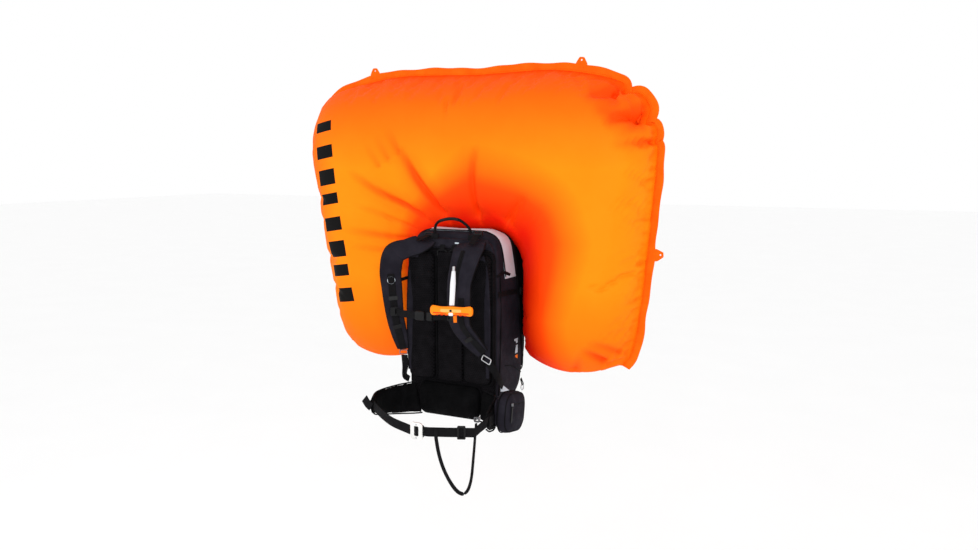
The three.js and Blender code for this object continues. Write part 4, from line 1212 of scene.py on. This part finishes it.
# ---- shoulder straps ---------------------------------------------------------------------------------
LEFT_ACROSS = (0.8, 0.6, 0)
left_strap = Rail.through([
    ((-76, 2, 497), 62, 8, (1, 0, -0.1)), ((-80, -20, 491), 58, 12, (1, 0.05, -0.5)),
    ((-114, -42, 478), 50, 13, (0.6, 0.15, -0.75)), ((-146, -58, 462), 62, 13, (0.85, 0.5, -0.25)),
    ((-150, -74, 416), 60, 12, LEFT_ACROSS), ((-140, -84, 370), 56, 12, (0.8, 0.6, 0)),
    ((-132, -90, 330), 52, 12, (0.8, 0.6, 0)), ((-125, -90, 282), 46, 12, (0.8, 0.6, 0)),
    ((-122, -74, 232), 42, 10, (0.8, 0.6, 0)), ((-125, -52, 190), 32, 7, (0.9, 0.4, 0))], 150)
right_strap = Rail.through([((72, 0, 496), 84, 8, (1, 0, 0.06)), ((76, -28, 482), 90, 12, (1, 0.08, 0)),
                            ((76, -60, 440), 80, 13, (1, 0.05, 0)), ((75, -82, 392), 72, 13, (1, 0, 0)),
                            ((78, -90, 342), 70, 13, (1, 0, 0)), ((82, -90, 284), 62, 12, (1, 0, 0)),
                            ((102, -70, 240), 52, 10, (1, 0.1, 0.3)),
                            ((130, -50, 200), 36, 7, (1, 0.2, 0.45))], 150)


def facing(rail):
    """+1 where the rail's normal looks at the wearer's front (-Y), else -1."""
    return 1 if rail.normal[len(rail.normal) // 2][1] < 0 else -1


for side_name, rail in (("left", left_strap), ("right", right_strap)):
    strap = sweep(f"shoulder_strap_{side_name}_foam", rail, PAD, shell_cloth)
    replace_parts(strap, f"shoulder_strap_{side_name}")
    out = facing(rail)
    for edge_name, across in (("in", -0.97), ("out", 0.97)):
        edge = Rail(rail.centre + rail.across * (across * rail.width[:, None] / 2), rail.across, rail.normal,
                    np.full(150, 4.2), np.full(150, 5.4))
        sweep(f"strap_{side_name}_binding_{edge_name}", edge, ROUND, binding)
        dashes(f"strap_{side_name}_stitches_{edge_name}",
               rail.moved(across=across * 0.86, out=out * 0.15, start=0.1), 4.4, 2.8, thread_light, size=0.8)
left_out, right_out = facing(left_strap), facing(right_strap)
tie = Rail.through([((-134, -62, 388), 10, 2, (0, 0, 1)), ((-137, -28, 387), 10, 2, (0, 0, 1)),
                    ((-139, 6, 388), 10, 2, (0, 0, 1))], 24)
sweep("strap_left_tie", tie, FLAT, webbing)
sweep("strap_left_webbing", left_strap.moved(out=left_out, width=20, thick=1.7, start=0.42), FLAT, webbing)
sweep("strap_right_webbing", right_strap.moved(across=0.3, out=right_out, width=18, thick=1.7, start=0.5),
      FLAT, webbing)


def on_strap(rail, where, out=1.0, across=0.0):
    """A point on a strap's outer face, with its directions across, along and out."""
    k = int(where * (len(rail.centre) - 1))
    face = facing(rail)
    tangent = unit(np.gradient(rail.centre, axis=0))[k]
    normal = rail.normal[k] * face
    point = rail.centre[k] + normal * (rail.thick[k] / 2 + out) + rail.across[k] * across * rail.width[k] / 2
    return point, rail.across[k], tangent, normal


badge_at, badge_right, badge_up, badge_out = on_strap(left_strap, 0.47, 0.4)
ring_tube("strap_badge_rim", badge_at + badge_out * 0.6, badge_right, badge_up, (10.4, 10.4), 1.7,
          light_cloth)
slab("strap_badge_bar", badge_at + badge_out * 0.4, (4, 11, 1.0), 1.8, light_cloth, right=badge_right,
     up=badge_up, edge=0.2)

# the right strap's zipped cover for the release, and the keepers across both straps
cover = right_strap.moved(across=-0.25, out=right_out * 0.8, start=0.12, end=0.42)
zip_line("strap_zip", Rail(cover.centre, cover.across, cover.normal * right_out, cover.width, cover.thick),
         "pack", 13, 4)
for k, (rail, where) in enumerate(((left_strap, 0.60), (left_strap, 0.80), (right_strap, 0.62),
                                   (right_strap, 0.84))):
    at, across, along, out = on_strap(rail, where, 2.2)
    slab(f"strap_keeper_{k}", at, (26, 12, 3.4), 2, plastic, right=across, up=along)

for side_name, stations in (
        ("left", [((-70, 0, 513), 20, 1.8, (1, 0, 0)), ((-71, -14, 511), 20, 1.8, (1, 0, 0)),
                  ((-88, -32, 500.5), 20, 1.8, (1, 0, 0.2))]),
        ("right", [((88, 0.3, 520), 20, 1.8, (1, 0, 0)), ((88, -14, 512), 20, 1.8, (1, 0, 0)),
                   ((87, -32, 497), 20, 1.8, (1, 0, 0))])):
    lifter = sweep(f"load_lifter_{side_name}_webbing", Rail.through(stations, 26), FLAT, webbing)
    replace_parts(lifter, f"load_lifter_{side_name}")
for side_name, x, z in (("left", -70, 514), ("right", 88, 524)):
    frame_piece = slab(f"load_lifter_ladder_{side_name}", (x, 6, z), (26, 16, 6), 3, plastic,
                       hole=(19, 3.4, 1), hole_at=(0, 2.6))
    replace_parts(frame_piece, f"load_lifter_buckle_{side_name}")
    slab(f"load_lifter_bar_{side_name}", (x, 3.6, z - 3), (23, 4, 4.6), 1.6, plastic)

ring_right = slab("strap_ring_right_wire", (139, -46, 182), (30, 17, 3), 4, steel,
                  right=(math.cos(0.45), 0, -math.sin(0.45)), up=(0.19, 0.43, 0.88), hole=(25, 12, 2.5),
                  edge=0.9)
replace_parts(ring_right, "strap_ring_right")
ring_left = slab("strap_ring_left_wire", (-126, -49, 178), (24, 14, 3), 4, dark_steel,
                 right=(0.92, 0.39, 0), up=(-0.15, 0.36, 0.92), hole=(19, 9, 2), edge=0.9)
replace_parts(ring_left, "strap_ring_left")
for side_name, stations in (
        ("right", [((143, -40.5, 171), 20, 1.8, (1, 0.2, 0.45)), ((153, -24, 146), 20, 1.8, (0.8, 0.5, 0.4)),
                   ((158, -2, 116), 20, 1.8, (0.2, 0.9, 0.5)), ((156, 24, 92), 20, 1.8, (0, 0.7, 0.7))]),
        ("left", [((-127, -43.5, 168), 18, 1.8, (0.9, 0.4, 0)), ((-133, -30, 134), 18, 1.8, (0.7, 0.7, 0)),
                  ((-150, -6, 96), 18, 1.8, (0.2, 0.9, 0.3)), ((-154, 24, 78), 18, 1.8, (0, 0.8, 0.5))])):
    lower = sweep(f"strap_webbing_{side_name}_flat", Rail.through(stations, 60), FLAT, webbing)
    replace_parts(lower, f"strap_webbing_{side_name}")

# ---- trigger -----------------------------------------------------------------------------------------
SLEEVE_TOP, SLEEVE_END = np.array([60.0, -84, 440]), np.array([73.0, -121, 334])
PULL = unit(SLEEVE_END - SLEEVE_TOP)
SLEEVE_ACROSS = (0.98, 0.12, 0)
sleeve_rail = Rail.through([(SLEEVE_TOP + PULL * 13, 10, 7, SLEEVE_ACROSS),
                            (SLEEVE_TOP + PULL * 45, 15, 8, SLEEVE_ACROSS),
                            (SLEEVE_END - PULL * 6, 14, 8, SLEEVE_ACROSS)], 60)
sleeve_rail.thick *= 1 + 0.05 * np.sin(np.linspace(0, 16, 60))
sleeve = sweep("trigger_sleeve_cloth", sleeve_rail, PAD, white_cloth, "trigger")
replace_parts(sleeve, "trigger_sleeve")
dashes("trigger_sleeve_stitches", sleeve_rail.moved(across=0.6, out=facing(sleeve_rail) * 0.1), 4, 2.4,
       light_cloth, "trigger", 0.7)
ferrule = tube("sleeve_ferrule_metal", [SLEEVE_TOP, SLEEVE_TOP + PULL * 12.5], 4, 12, steel, "trigger",
               sides=24)
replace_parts(ferrule, "sleeve_ferrule")
for k in range(3):
    tube(f"ferrule_groove_{k}", [SLEEVE_TOP + PULL * (2.5 + 3.2 * k), SLEEVE_TOP + PULL * (4.0 + 3.2 * k)],
         4.6, 3, steel, "trigger", sides=24)

GRIP = [(-60, 20, 13), (-52, 27, 16), (-30, 22, 17), (0, 24, 18), (30, 22, 17), (52, 27, 16), (60, 20, 13)]
GRIP_TURN = 0.21
grip_at = SLEEVE_END + PULL * 8.5
grip_right = np.array([math.cos(GRIP_TURN), math.sin(GRIP_TURN), 0])
grip_line = curve(GRIP, 70)
ends = np.linspace(-1, 1, 70)
grip_swell = np.sqrt(np.clip(1 - np.abs(ends) ** 26, 0.0, 1)) * 0.98 + 0.02
grip_rail = Rail(grip_at + grip_line[:, :1] * grip_right, np.tile([0.0, 0, 1], (70, 1)),
                 np.tile(np.cross(grip_right, [0, 0, 1]), (70, 1)), grip_line[:, 1] * grip_swell,
                 grip_line[:, 2] * grip_swell)
grip = sweep("trigger_grip", grip_rail, superellipse(2.3, 30), orange_plastic, "trigger")
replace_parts(grip, "trigger_handle")
grip_out = np.cross(grip_right, [0, 0, 1.0])
# painted highlight: a paler orange strip on the grip's front face stands in for the light along it
slab("grip_highlight_strip", grip_at + grip_out * 8.6 + [0, 0, 1.5], (58, 8, 1.4), 3.4,
     plastic_look("grip_highlight_plastic", (1.0, 0.42, 0.10), 0.3, 500, (1.0, 0.5, 0.2)), "trigger",
     grip_right, (0, 0, 1))
slab("grip_button", grip_at + grip_out * 9.4 + [0, 0, 1.5], (7, 7, 1.4), 3.2, plastic, "trigger",
     right=grip_right, edge=0.3)
# painted shade: deep red strips along the grip's lower front stand in for the shade above its lip
for k, side in enumerate((-1, 1)):
    slab(f"grip_slot_shade_{k}", grip_at + grip_right * side * 31 + grip_out * 7.4 - [0, 0, 5.4], (38, 3.4, 1.6),
         1.6, red_shade_plastic, "trigger", right=grip_right, edge=0.4)
slab("grip_wedge", grip_at + grip_out * 7.6 - [0, 0, 8.2], (12, 8.5, 2.4), 2, white_cloth, "trigger",
     right=grip_right, edge=0.6)
# painted shade: the ribs under the grip are coloured deep red for its shaded underside
for k in range(-3, 4):
    slab(f"grip_rib_shade_{k + 3}", grip_at + grip_right * k * 13 + grip_out * 2 - [0, 0, 11.2], (7, 10, 1.6), 1.5,
         red_shade_plastic, "trigger", right=grip_right, up=grip_out, edge=0.3)
tab_rail = Rail.through([((86, -127, 313.5), 10, 2.5, SLEEVE_ACROSS),
                         ((88, -129, 296), 9, 2.5, SLEEVE_ACROSS)], 14)
tab = sweep("handle_tab_web", tab_rail, FLAT, orange_web, "trigger")
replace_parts(tab, "handle_tab")

# ---- sternum strap -----------------------------------------------------------------------------------
STERNUM_Z = 305
slider_left = slab("sternum_slider_left_clip", (-121.5, -101.5, STERNUM_Z), (22, 24, 4), 3, plastic,
                   "sternum_strap", right=(math.cos(0.7), math.sin(0.7), 0), hole=(4, 16, 1.5),
                   hole_at=(4, 0))
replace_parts(slider_left, "sternum_slider_left")
slider_right = slab("sternum_slider_right_clip", (58, -100.5, STERNUM_Z), (20, 24, 4), 3, plastic,
                    "sternum_strap", hole=(4, 16, 1.5), hole_at=(-4, 0))
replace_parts(slider_right, "sternum_slider_right")
for side_name, stations in (
        ("left", [((-111, -103.5, 305), 20, 1.8, (0, 0, 1)), ((-84, -110, 303), 20, 1.8, (0, 0, 1)),
                  ((-48, -111, 302), 20, 1.8, (0, 0, 1))]),
        ("right", [((8, -111, 303), 20, 1.8, (0, 0, 1)), ((28, -109, 304), 20, 1.8, (0, 0, 1)),
                   ((47, -101, 305), 20, 1.8, (0, 0, 1))])):
    band = sweep(f"sternum_webbing_{side_name}_flat", Rail.through(stations, 40), FLAT, webbing,
                 "sternum_strap")
    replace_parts(band, f"sternum_webbing_{side_name}")
female = slab("sternum_buckle_socket", (-32, -111, 302), (30, 25, 9), 5, plastic, "sternum_strap", edge=1.6)
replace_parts(female, "sternum_buckle_female")
male = slab("sternum_buckle_plug", (-1.5, -111, 302), (17, 23, 8), 3.4, plastic, "sternum_strap", edge=1.4)
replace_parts(male, "sternum_buckle_male")

# ---- hip belt ----------------------------------------------------------------------------------------
WING_STATIONS = {   # middle, height and thickness, from the lumbar pad to the webbing
    "left": [((-100.6, -7, 37), 96, 9), ((-122, -12, 33), 96, 10), ((-152, -34, 31), 90, 13),
             ((-172, -80, 34), 78, 14), ((-168, -130, 42), 66, 13), ((-141, -189, 56), 42, 8)],
    "right": [((100.6, -7, 38), 96, 9), ((122, -11, 35), 94, 9), ((152, -24, 34), 88, 12),
              ((176, -76, 38), 82, 12), ((193, -134, 45), 66, 11), ((207, -180, 54), 42, 8)],
}
wings, wing_rails, wing_trim = {}, {}, []
for side_name, stations in WING_STATIONS.items():
    rail = wing_rails[side_name] = Rail.through([(*station, (0, 0, 1)) for station in stations], 110)
    body = f"belt_{side_name}"
    wing = sweep(f"hip_wing_{side_name}_foam", Rail(rail.centre, rail.across, rail.normal, rail.width * 0.98,
                                                    rail.thick * 0.9), PAD, pad_cloth, body)
    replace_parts(wing, f"hip_wing_{side_name}")
    puff(wing, 3.0, 2.5, voxel=5)
    wings[side_name] = wing
    for edge_name, across in (("low", -0.98), ("high", 0.98)):
        edge = Rail(rail.centre + rail.across * (across * rail.width[:, None] / 2), rail.across, rail.normal,
                    np.full(110, 4.0), np.full(110, 5.2))
        wing_trim.append((sweep(f"wing_{side_name}_binding_{edge_name}", edge, ROUND, binding, body),
                          side_name))
    outer = 1 if (rail.normal[55][0] > 0) == (side_name == "right") else -1
    sweep(f"wing_{side_name}_strap", rail.moved(out=outer * 2.2, width=25, thick=1.8, start=0.38, end=0.97),
          FLAT, webbing, body)
    for across in (-0.62, 0.62):
        row = dashes(f"wing_{side_name}_stitches_{'low' if across < 0 else 'high'}",
                     rail.moved(across=across, out=outer * 0.9, start=0.14, end=0.95), 5, 3.2, binding, body,
                     size=1.0)
        wing_trim.append((row, side_name))

HIP_WEBS = {
    "hip_webbing_left": ((0, 0.05, 1),
                         [(-134.5, -191.5, 55), (-100, -218, 50), (-40, -250, 40), (31, -270, 33)]),
    "hip_tail": ((0.62, 0, 0.78), [(-143, -193, 50), (-156, -191, 58), (-170, -186, 70)]),
}
for name, (up, points) in HIP_WEBS.items():
    rail = Rail.through([(p, 25, 1.8, up) for p in points], 70)
    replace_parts(sweep(name + "_flat", rail, FLAT, webbing, "belt_left"), name)
KEEPER, BELT_TURN = np.array([165.5, -240.6, 36.5]), math.radians(24.2)
HEADING = np.array([math.cos(BELT_TURN), math.sin(BELT_TURN), 0])
run = [(71, -267, 33.5), (84, -268.5, 34.5), KEEPER - 34 * HEADING, KEEPER - 11 * HEADING,
       KEEPER + 11 * HEADING, KEEPER + 34 * HEADING, (203, -208, 45), (208, -190, 51), (208, -168, 54)]
line = resample(np.array([tuple(p) for p in run], float), 110)
tangent = unit(np.gradient(line, axis=0))
flat_normal = unit(np.cross(tangent, [0, 0, 1.0]))
band = sweep("hip_webbing_right_flat", Rail(line, np.tile([0, 0, 1.0], (110, 1)), flat_normal,
                                            np.full(110, 25.0), np.full(110, 1.8)), FLAT, webbing,
             "belt_right")
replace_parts(band, "hip_webbing_right")

BUCKLE = np.array([51.0, -272, 33])
buckle_frame = slab("buckle_frame_metal", BUCKLE, (36, 46, 5), 9, alloy, "belt_left", hole=(13, 26, 3),
                    edge=1.3)
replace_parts(buckle_frame, "buckle_frame")
for k, z in enumerate((-17.5, 17.5)):
    slab(f"buckle_rivet_{k}", BUCKLE + [0, -2.9, z], (5, 5, 1.2), 2.4, steel, "belt_left", edge=0.3)
hook = slab("buckle_hook_plate", BUCKLE + [4, 5.2, 0], (30, 32, 3), 3, plastic, "belt_right")
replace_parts(hook, "buckle_hook")
slab("buckle_hook_nose", BUCKLE + [-3, 2.3, 0], (4, 24, 3.4), 0.8, plastic, "belt_right", edge=0.4)
ACROSS_BELT = np.cross(HEADING, [0, 0, 1])
front_bar = slab("hip_keeper_front", KEEPER + ACROSS_BELT * 3.1, (22, 35, 2.2), 3, plastic, "belt_keeper",
                 right=HEADING, hole=(12, 25.5, 1.5), edge=0.6)
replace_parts(front_bar, "hip_keeper")
slab("hip_keeper_back", KEEPER - ACROSS_BELT * 3.1, (20, 33, 2.0), 3, plastic, "belt_keeper", right=HEADING,
     edge=0.5)
for k, z in enumerate((-15.2, 15.2)):
    slab(f"hip_keeper_end_{k}", KEEPER + [0, 0, z], (20, 3.4, 6.6), 1, plastic, "belt_keeper", right=HEADING,
         edge=0.5)

# ---- belt pocket -------------------------------------------------------------------------------------
POCKET_AT, POCKET_TILT = np.array([190.0, -50, 47]), -0.17
POCKET_LENGTH, POCKET_HEIGHT, POCKET_DEPTH, POCKET_INNER = 122, 104, 38, 7.3
POCKET_OUT = np.array([1.0, 0, 0])
POCKET_ALONG = np.array([0, math.cos(POCKET_TILT), math.sin(POCKET_TILT)])
POCKET_UP = np.array([0, -math.sin(POCKET_TILT), math.cos(POCKET_TILT)])


def in_pocket(points):
    """Points given as (out of the wing, along it, up) in the pocket's own frame."""
    p = np.asarray(points, float)
    return POCKET_AT + p[..., :1] * POCKET_OUT + p[..., 1:2] * POCKET_ALONG + p[..., 2:] * POCKET_UP


def pocket_outline(grow, count=120):
    p = rounded(POCKET_LENGTH + 8 + 2 * grow, POCKET_HEIGHT + 6 + 2 * grow, max(40 + grow, 3), 12)
    return resample(np.vstack([p, p[:1]]), count + 1)[:-1]


rings = [(-24, 0.4), (-12, 0.6), (-5, 3), (-1.5, 8), (0.5, 16), (0, 23), (-3, 30), (-8, 34.5), (-16, 37),
         (-28, 38), (-42, 38.6)]
verts, faces = [], []
for grow, out in rings:
    outline = pocket_outline(grow)
    verts.append(in_pocket(np.stack([np.full(120, POCKET_INNER + out), outline[:, 0], outline[:, 1]],
                                    axis=1)))
for k in range(len(rings) - 1):
    for j in range(120):
        faces.append([k * 120 + j, k * 120 + (j + 1) % 120, (k + 1) * 120 + (j + 1) % 120, (k + 1) * 120 + j])
faces.append(list(range(120))[::-1])
faces.append(list(range((len(rings) - 1) * 120, len(rings) * 120)))
pocket = piece("hip_pocket_cloth", np.concatenate(verts), faces, shell_cloth, "belt_right")
fix_normals(pocket)
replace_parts(pocket, "hip_pocket")
puff(pocket, 2.0, 2.5, voxel=4.5)
for name, grow, out in (("pocket_piping_out", -3.4, POCKET_DEPTH - 8), ("pocket_piping_in", 0.2, 9)):
    outline = np.vstack([pocket_outline(grow), pocket_outline(grow)[:1]])
    line = in_pocket(np.stack([np.full(121, POCKET_INNER + out), outline[:, 0], outline[:, 1]], axis=1))
    tangent = unit(np.gradient(line, axis=0))
    rail = Rail(line, np.tile(POCKET_OUT, (121, 1)), np.cross(tangent, POCKET_OUT), np.full(121, 3.0),
                np.full(121, 3.0))
    sweep(name, rail, ROUND, binding, "belt_right")
FACE_OUT = POCKET_INNER + POCKET_DEPTH
zip_points = in_pocket(np.stack([np.full(90, FACE_OUT - 0.2), np.linspace(-47, 47, 90), np.full(90, 24.5)],
                                axis=1))
zip_points -= POCKET_OUT * (np.abs(np.linspace(-1, 1, 90)) ** 4 * 2.5)[:, None]
zip_rail = Rail(zip_points, np.tile(POCKET_UP, (90, 1)), np.tile(POCKET_OUT, (90, 1)), np.full(90, 12.0),
                np.full(90, 1.0))
zip_line("pocket_zip", zip_rail, "belt_right", 12, 4)
slider = slab("pocket_slider_body", in_pocket([FACE_OUT + 2.4, -42, 24.5]), (8, 9, 4), 2, dark_steel,
              "zip_slider", POCKET_ALONG, POCKET_UP)
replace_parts(slider, "pocket_slider")
zip_tab = slab("pocket_pull_tab", in_pocket([FACE_OUT + 2.6, -42, -2.7]), (6.4, 42, 2.6), 2.8, plastic,
               "zip_pull", right=POCKET_ALONG, up=POCKET_UP, edge=0.6)
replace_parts(zip_tab, "pocket_pull")

# the cloth wedge that joins the pocket to the curve of the wing behind it
wing_out = wing_rails["right"]
wing_face = wing_out.centre + np.sign(wing_out.normal[:, :1]) * wing_out.normal * wing_out.thick[:, None] / 2
wedge_y = np.linspace(-104, -6, 40)
order = np.argsort(wing_face[:, 1])
wedge_in = np.interp(wedge_y, wing_face[order, 1], wing_face[order, 0]) + 0.6
wedge_out = POCKET_AT[0] + POCKET_INNER + 1.5
wedge_z = POCKET_AT[2] + (wedge_y - POCKET_AT[1]) * math.tan(POCKET_TILT)
ends = 1 - np.abs(np.linspace(-1, 1, 40)) ** 6 * 0.35
wedge = Rail(np.stack([(wedge_in + wedge_out) / 2, wedge_y, wedge_z - 4], axis=1),
             np.tile([0, 0, 1.0], (40, 1)), np.tile(POCKET_OUT, (40, 1)), 80 * ends, wedge_out - wedge_in)
sweep("pocket_back_cloth", wedge, PAD, shell_cloth, "belt_right")

# ---- side hardware -----------------------------------------------------------------------------------
for side_name, sign in (("left", -1), ("right", 1)):
    x = sign * (HALF_WIDTH + 3.4)
    buckle_body = slab(f"side_buckle_{side_name}_ladder", (x, 158, 347), (16, 22, 6), 2.4, plastic,
                       right=(0, 1, 0), hole=(9, 4, 1), hole_at=(0, 4), edge=0.8)
    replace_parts(buckle_body, f"side_buckle_{side_name}")
RING = (155, 160, 57.6)
tab_loop = Rail.through([((149, 160, 82), 14, 1.8, (0, 1, 0)), ((152.4, 160, 70), 14, 1.8, (0, 1, 0)),
                         ((155, 160, 63.4), 14, 1.8, (0, 1, 0)), ((158.0, 160, 67), 14, 1.8, (0, 1, 0)),
                         ((154.6, 160, 76), 14, 1.8, (0, 1, 0)), ((151, 160, 85), 14, 1.8, (0, 1, 0))], 40)
tab_loop.width *= 0.3
loop_piece = sweep("ring_tab_web", tab_loop, FLAT, webbing)
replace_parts(loop_piece, "ring_tab")
ski_ring = ring_tube("ski_ring_wire", RING, (0, 1, 0), (0, 0, 1), (9, 9), 3, steel, "ski_ring")
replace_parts(ski_ring, "ski_ring")

# ---- airbag tabs: a doubled patch of the bag's cloth with an eyelet, sewn over the flange ---------------
TAB_MIDDLE = BAG_MIDDLE + 1.0
TAB = [(-17, -13), (17, -13), (17, -3), (6.5, 15), (-6.5, 15), (-17, -3)]
for name, x, z, lean in (("left", -368, 994, 0.06), ("right", 316, 994, -0.05), ("side", 546, 468, -1.48)):
    outward = np.array([-math.sin(lean), 0, math.cos(lean)])
    sideways = np.array([math.cos(lean), 0, math.sin(lean)])
    rim = resample(np.array(TAB + TAB[:1], float), 25)[:-1]
    eye_turn = np.arctan2(rim[:, 1] - 7, rim[:, 0])
    eye = np.stack([2.7 * np.cos(eye_turn), 7 + 2.7 * np.sin(eye_turn)], axis=1)
    loop = np.concatenate([rim, eye])
    verts = np.concatenate([np.array([x, TAB_MIDDLE, z]) + loop[:, :1] * sideways + loop[:, 1:] * outward
                            + [0, y, 0] for y in (-1.6, 1.6)])
    faces = []
    for k in range(24):
        a, b = k, (k + 1) % 24
        faces += [[a, b, b + 48, a + 48], [a + 24, a + 72, b + 72, b + 24], [a + 48, b + 48, b + 72, a + 72],
                  [a, a + 24, b + 24, b]]
    tab_cloth = piece(f"airbag_tab_{name}_cloth", verts, faces, flange_look, smooth=False)
    fix_normals(tab_cloth)
    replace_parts(tab_cloth, f"airbag_tab_{name}")
    eye_at = np.array([x, TAB_MIDDLE, z]) + outward * 7
    ring_tube(f"airbag_eyelet_{name}", eye_at, sideways, outward, (3.4, 3.4), 1.6, alloy)

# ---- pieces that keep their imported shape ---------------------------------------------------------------
for node, look, slot_name in (("frame_sheet", plastic, "black_plastic"), ("frame_stay", alloy, "alloy"),
                              ("gas_cartridge", bottle_paint, "cartridge"),
                              ("inflator_body", plastic, "black_plastic"),
                              ("inflator_lever", yellow_plastic, "cable"),
                              ("trigger_cable", yellow_plastic, "cable"),
                              ("airbag_collar", plastic, "black_plastic"),
                              ("leg_loop_clip", dark_steel, "steel")):
    kept_node = frame["nodes"][node]
    kept_node.data.materials.clear()
    kept_node.data.materials.append(look)


# ---- the cloth run -----------------------------------------------------------------------------------
settle()
bag = finish_airbag()
flange(bag)
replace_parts(airbag, "airbag")
for obj, fill in [(back_pads[0], 0.8), (back_pads[1], 0.8), (lumbar, 0.8), (wings["left"], 0.7),
                  (wings["right"], 0.7), (pocket, 0.5)]:
    subdivided(obj)
for obj, side_name in [(wing, name) for name, wing in wings.items()] + wing_trim:
    bend(obj)


# ---- stage -------------------------------------------------------------------------------------------
def area_light(name, at, aim, size, power, colour=(1, 1, 1)):
    data = bpy.data.lights.new(name, "AREA")
    data.shape = "RECTANGLE"
    data.size, data.size_y = size
    data.energy = power
    data.color = colour
    light = bpy.data.objects.new(name, data)
    light.location = Vector(at)
    light.rotation_euler = (Vector(aim) - Vector(at)).to_track_quat("-Z", "Y").to_euler()
    bpy.context.scene.collection.objects.link(light)


FLOOR = -1.05                                     # as far below the pack as a wearer's waist is high
floor_mesh = bpy.data.meshes.new("floor")
floor_mesh.from_pydata([(-30, -30, FLOOR), (30, -30, FLOOR), (30, 30, FLOOR), (-30, 30, FLOOR)], [],
                       [(0, 1, 2, 3)])
floor = bpy.data.objects.new("floor", floor_mesh)
bpy.context.scene.collection.objects.link(floor)
pale = Look("pale_floor", rough=0.9)
pale_base = pale.mix(pale.noise(pale.place(), 2, 3), (0.95, 0.95, 0.95), (0.98, 0.98, 0.98))
floor_mesh.materials.append(pale.finish(pale_base))
world = bpy.data.worlds.new("world")
bpy.context.scene.world = world
world.use_nodes = True
world.node_tree.nodes["Background"].inputs[0].default_value = (1, 1, 1, 1)
world.node_tree.nodes["Background"].inputs[1].default_value = 1.0
area_light("key", (1.5, -2.8, 1.1), (0, 0, 0.35), (1.2, 1.2), 34)
area_light("front", (-1.4, -2.6, 0.6), (0, 0, 0.3), (1.4, 1.4), 12)
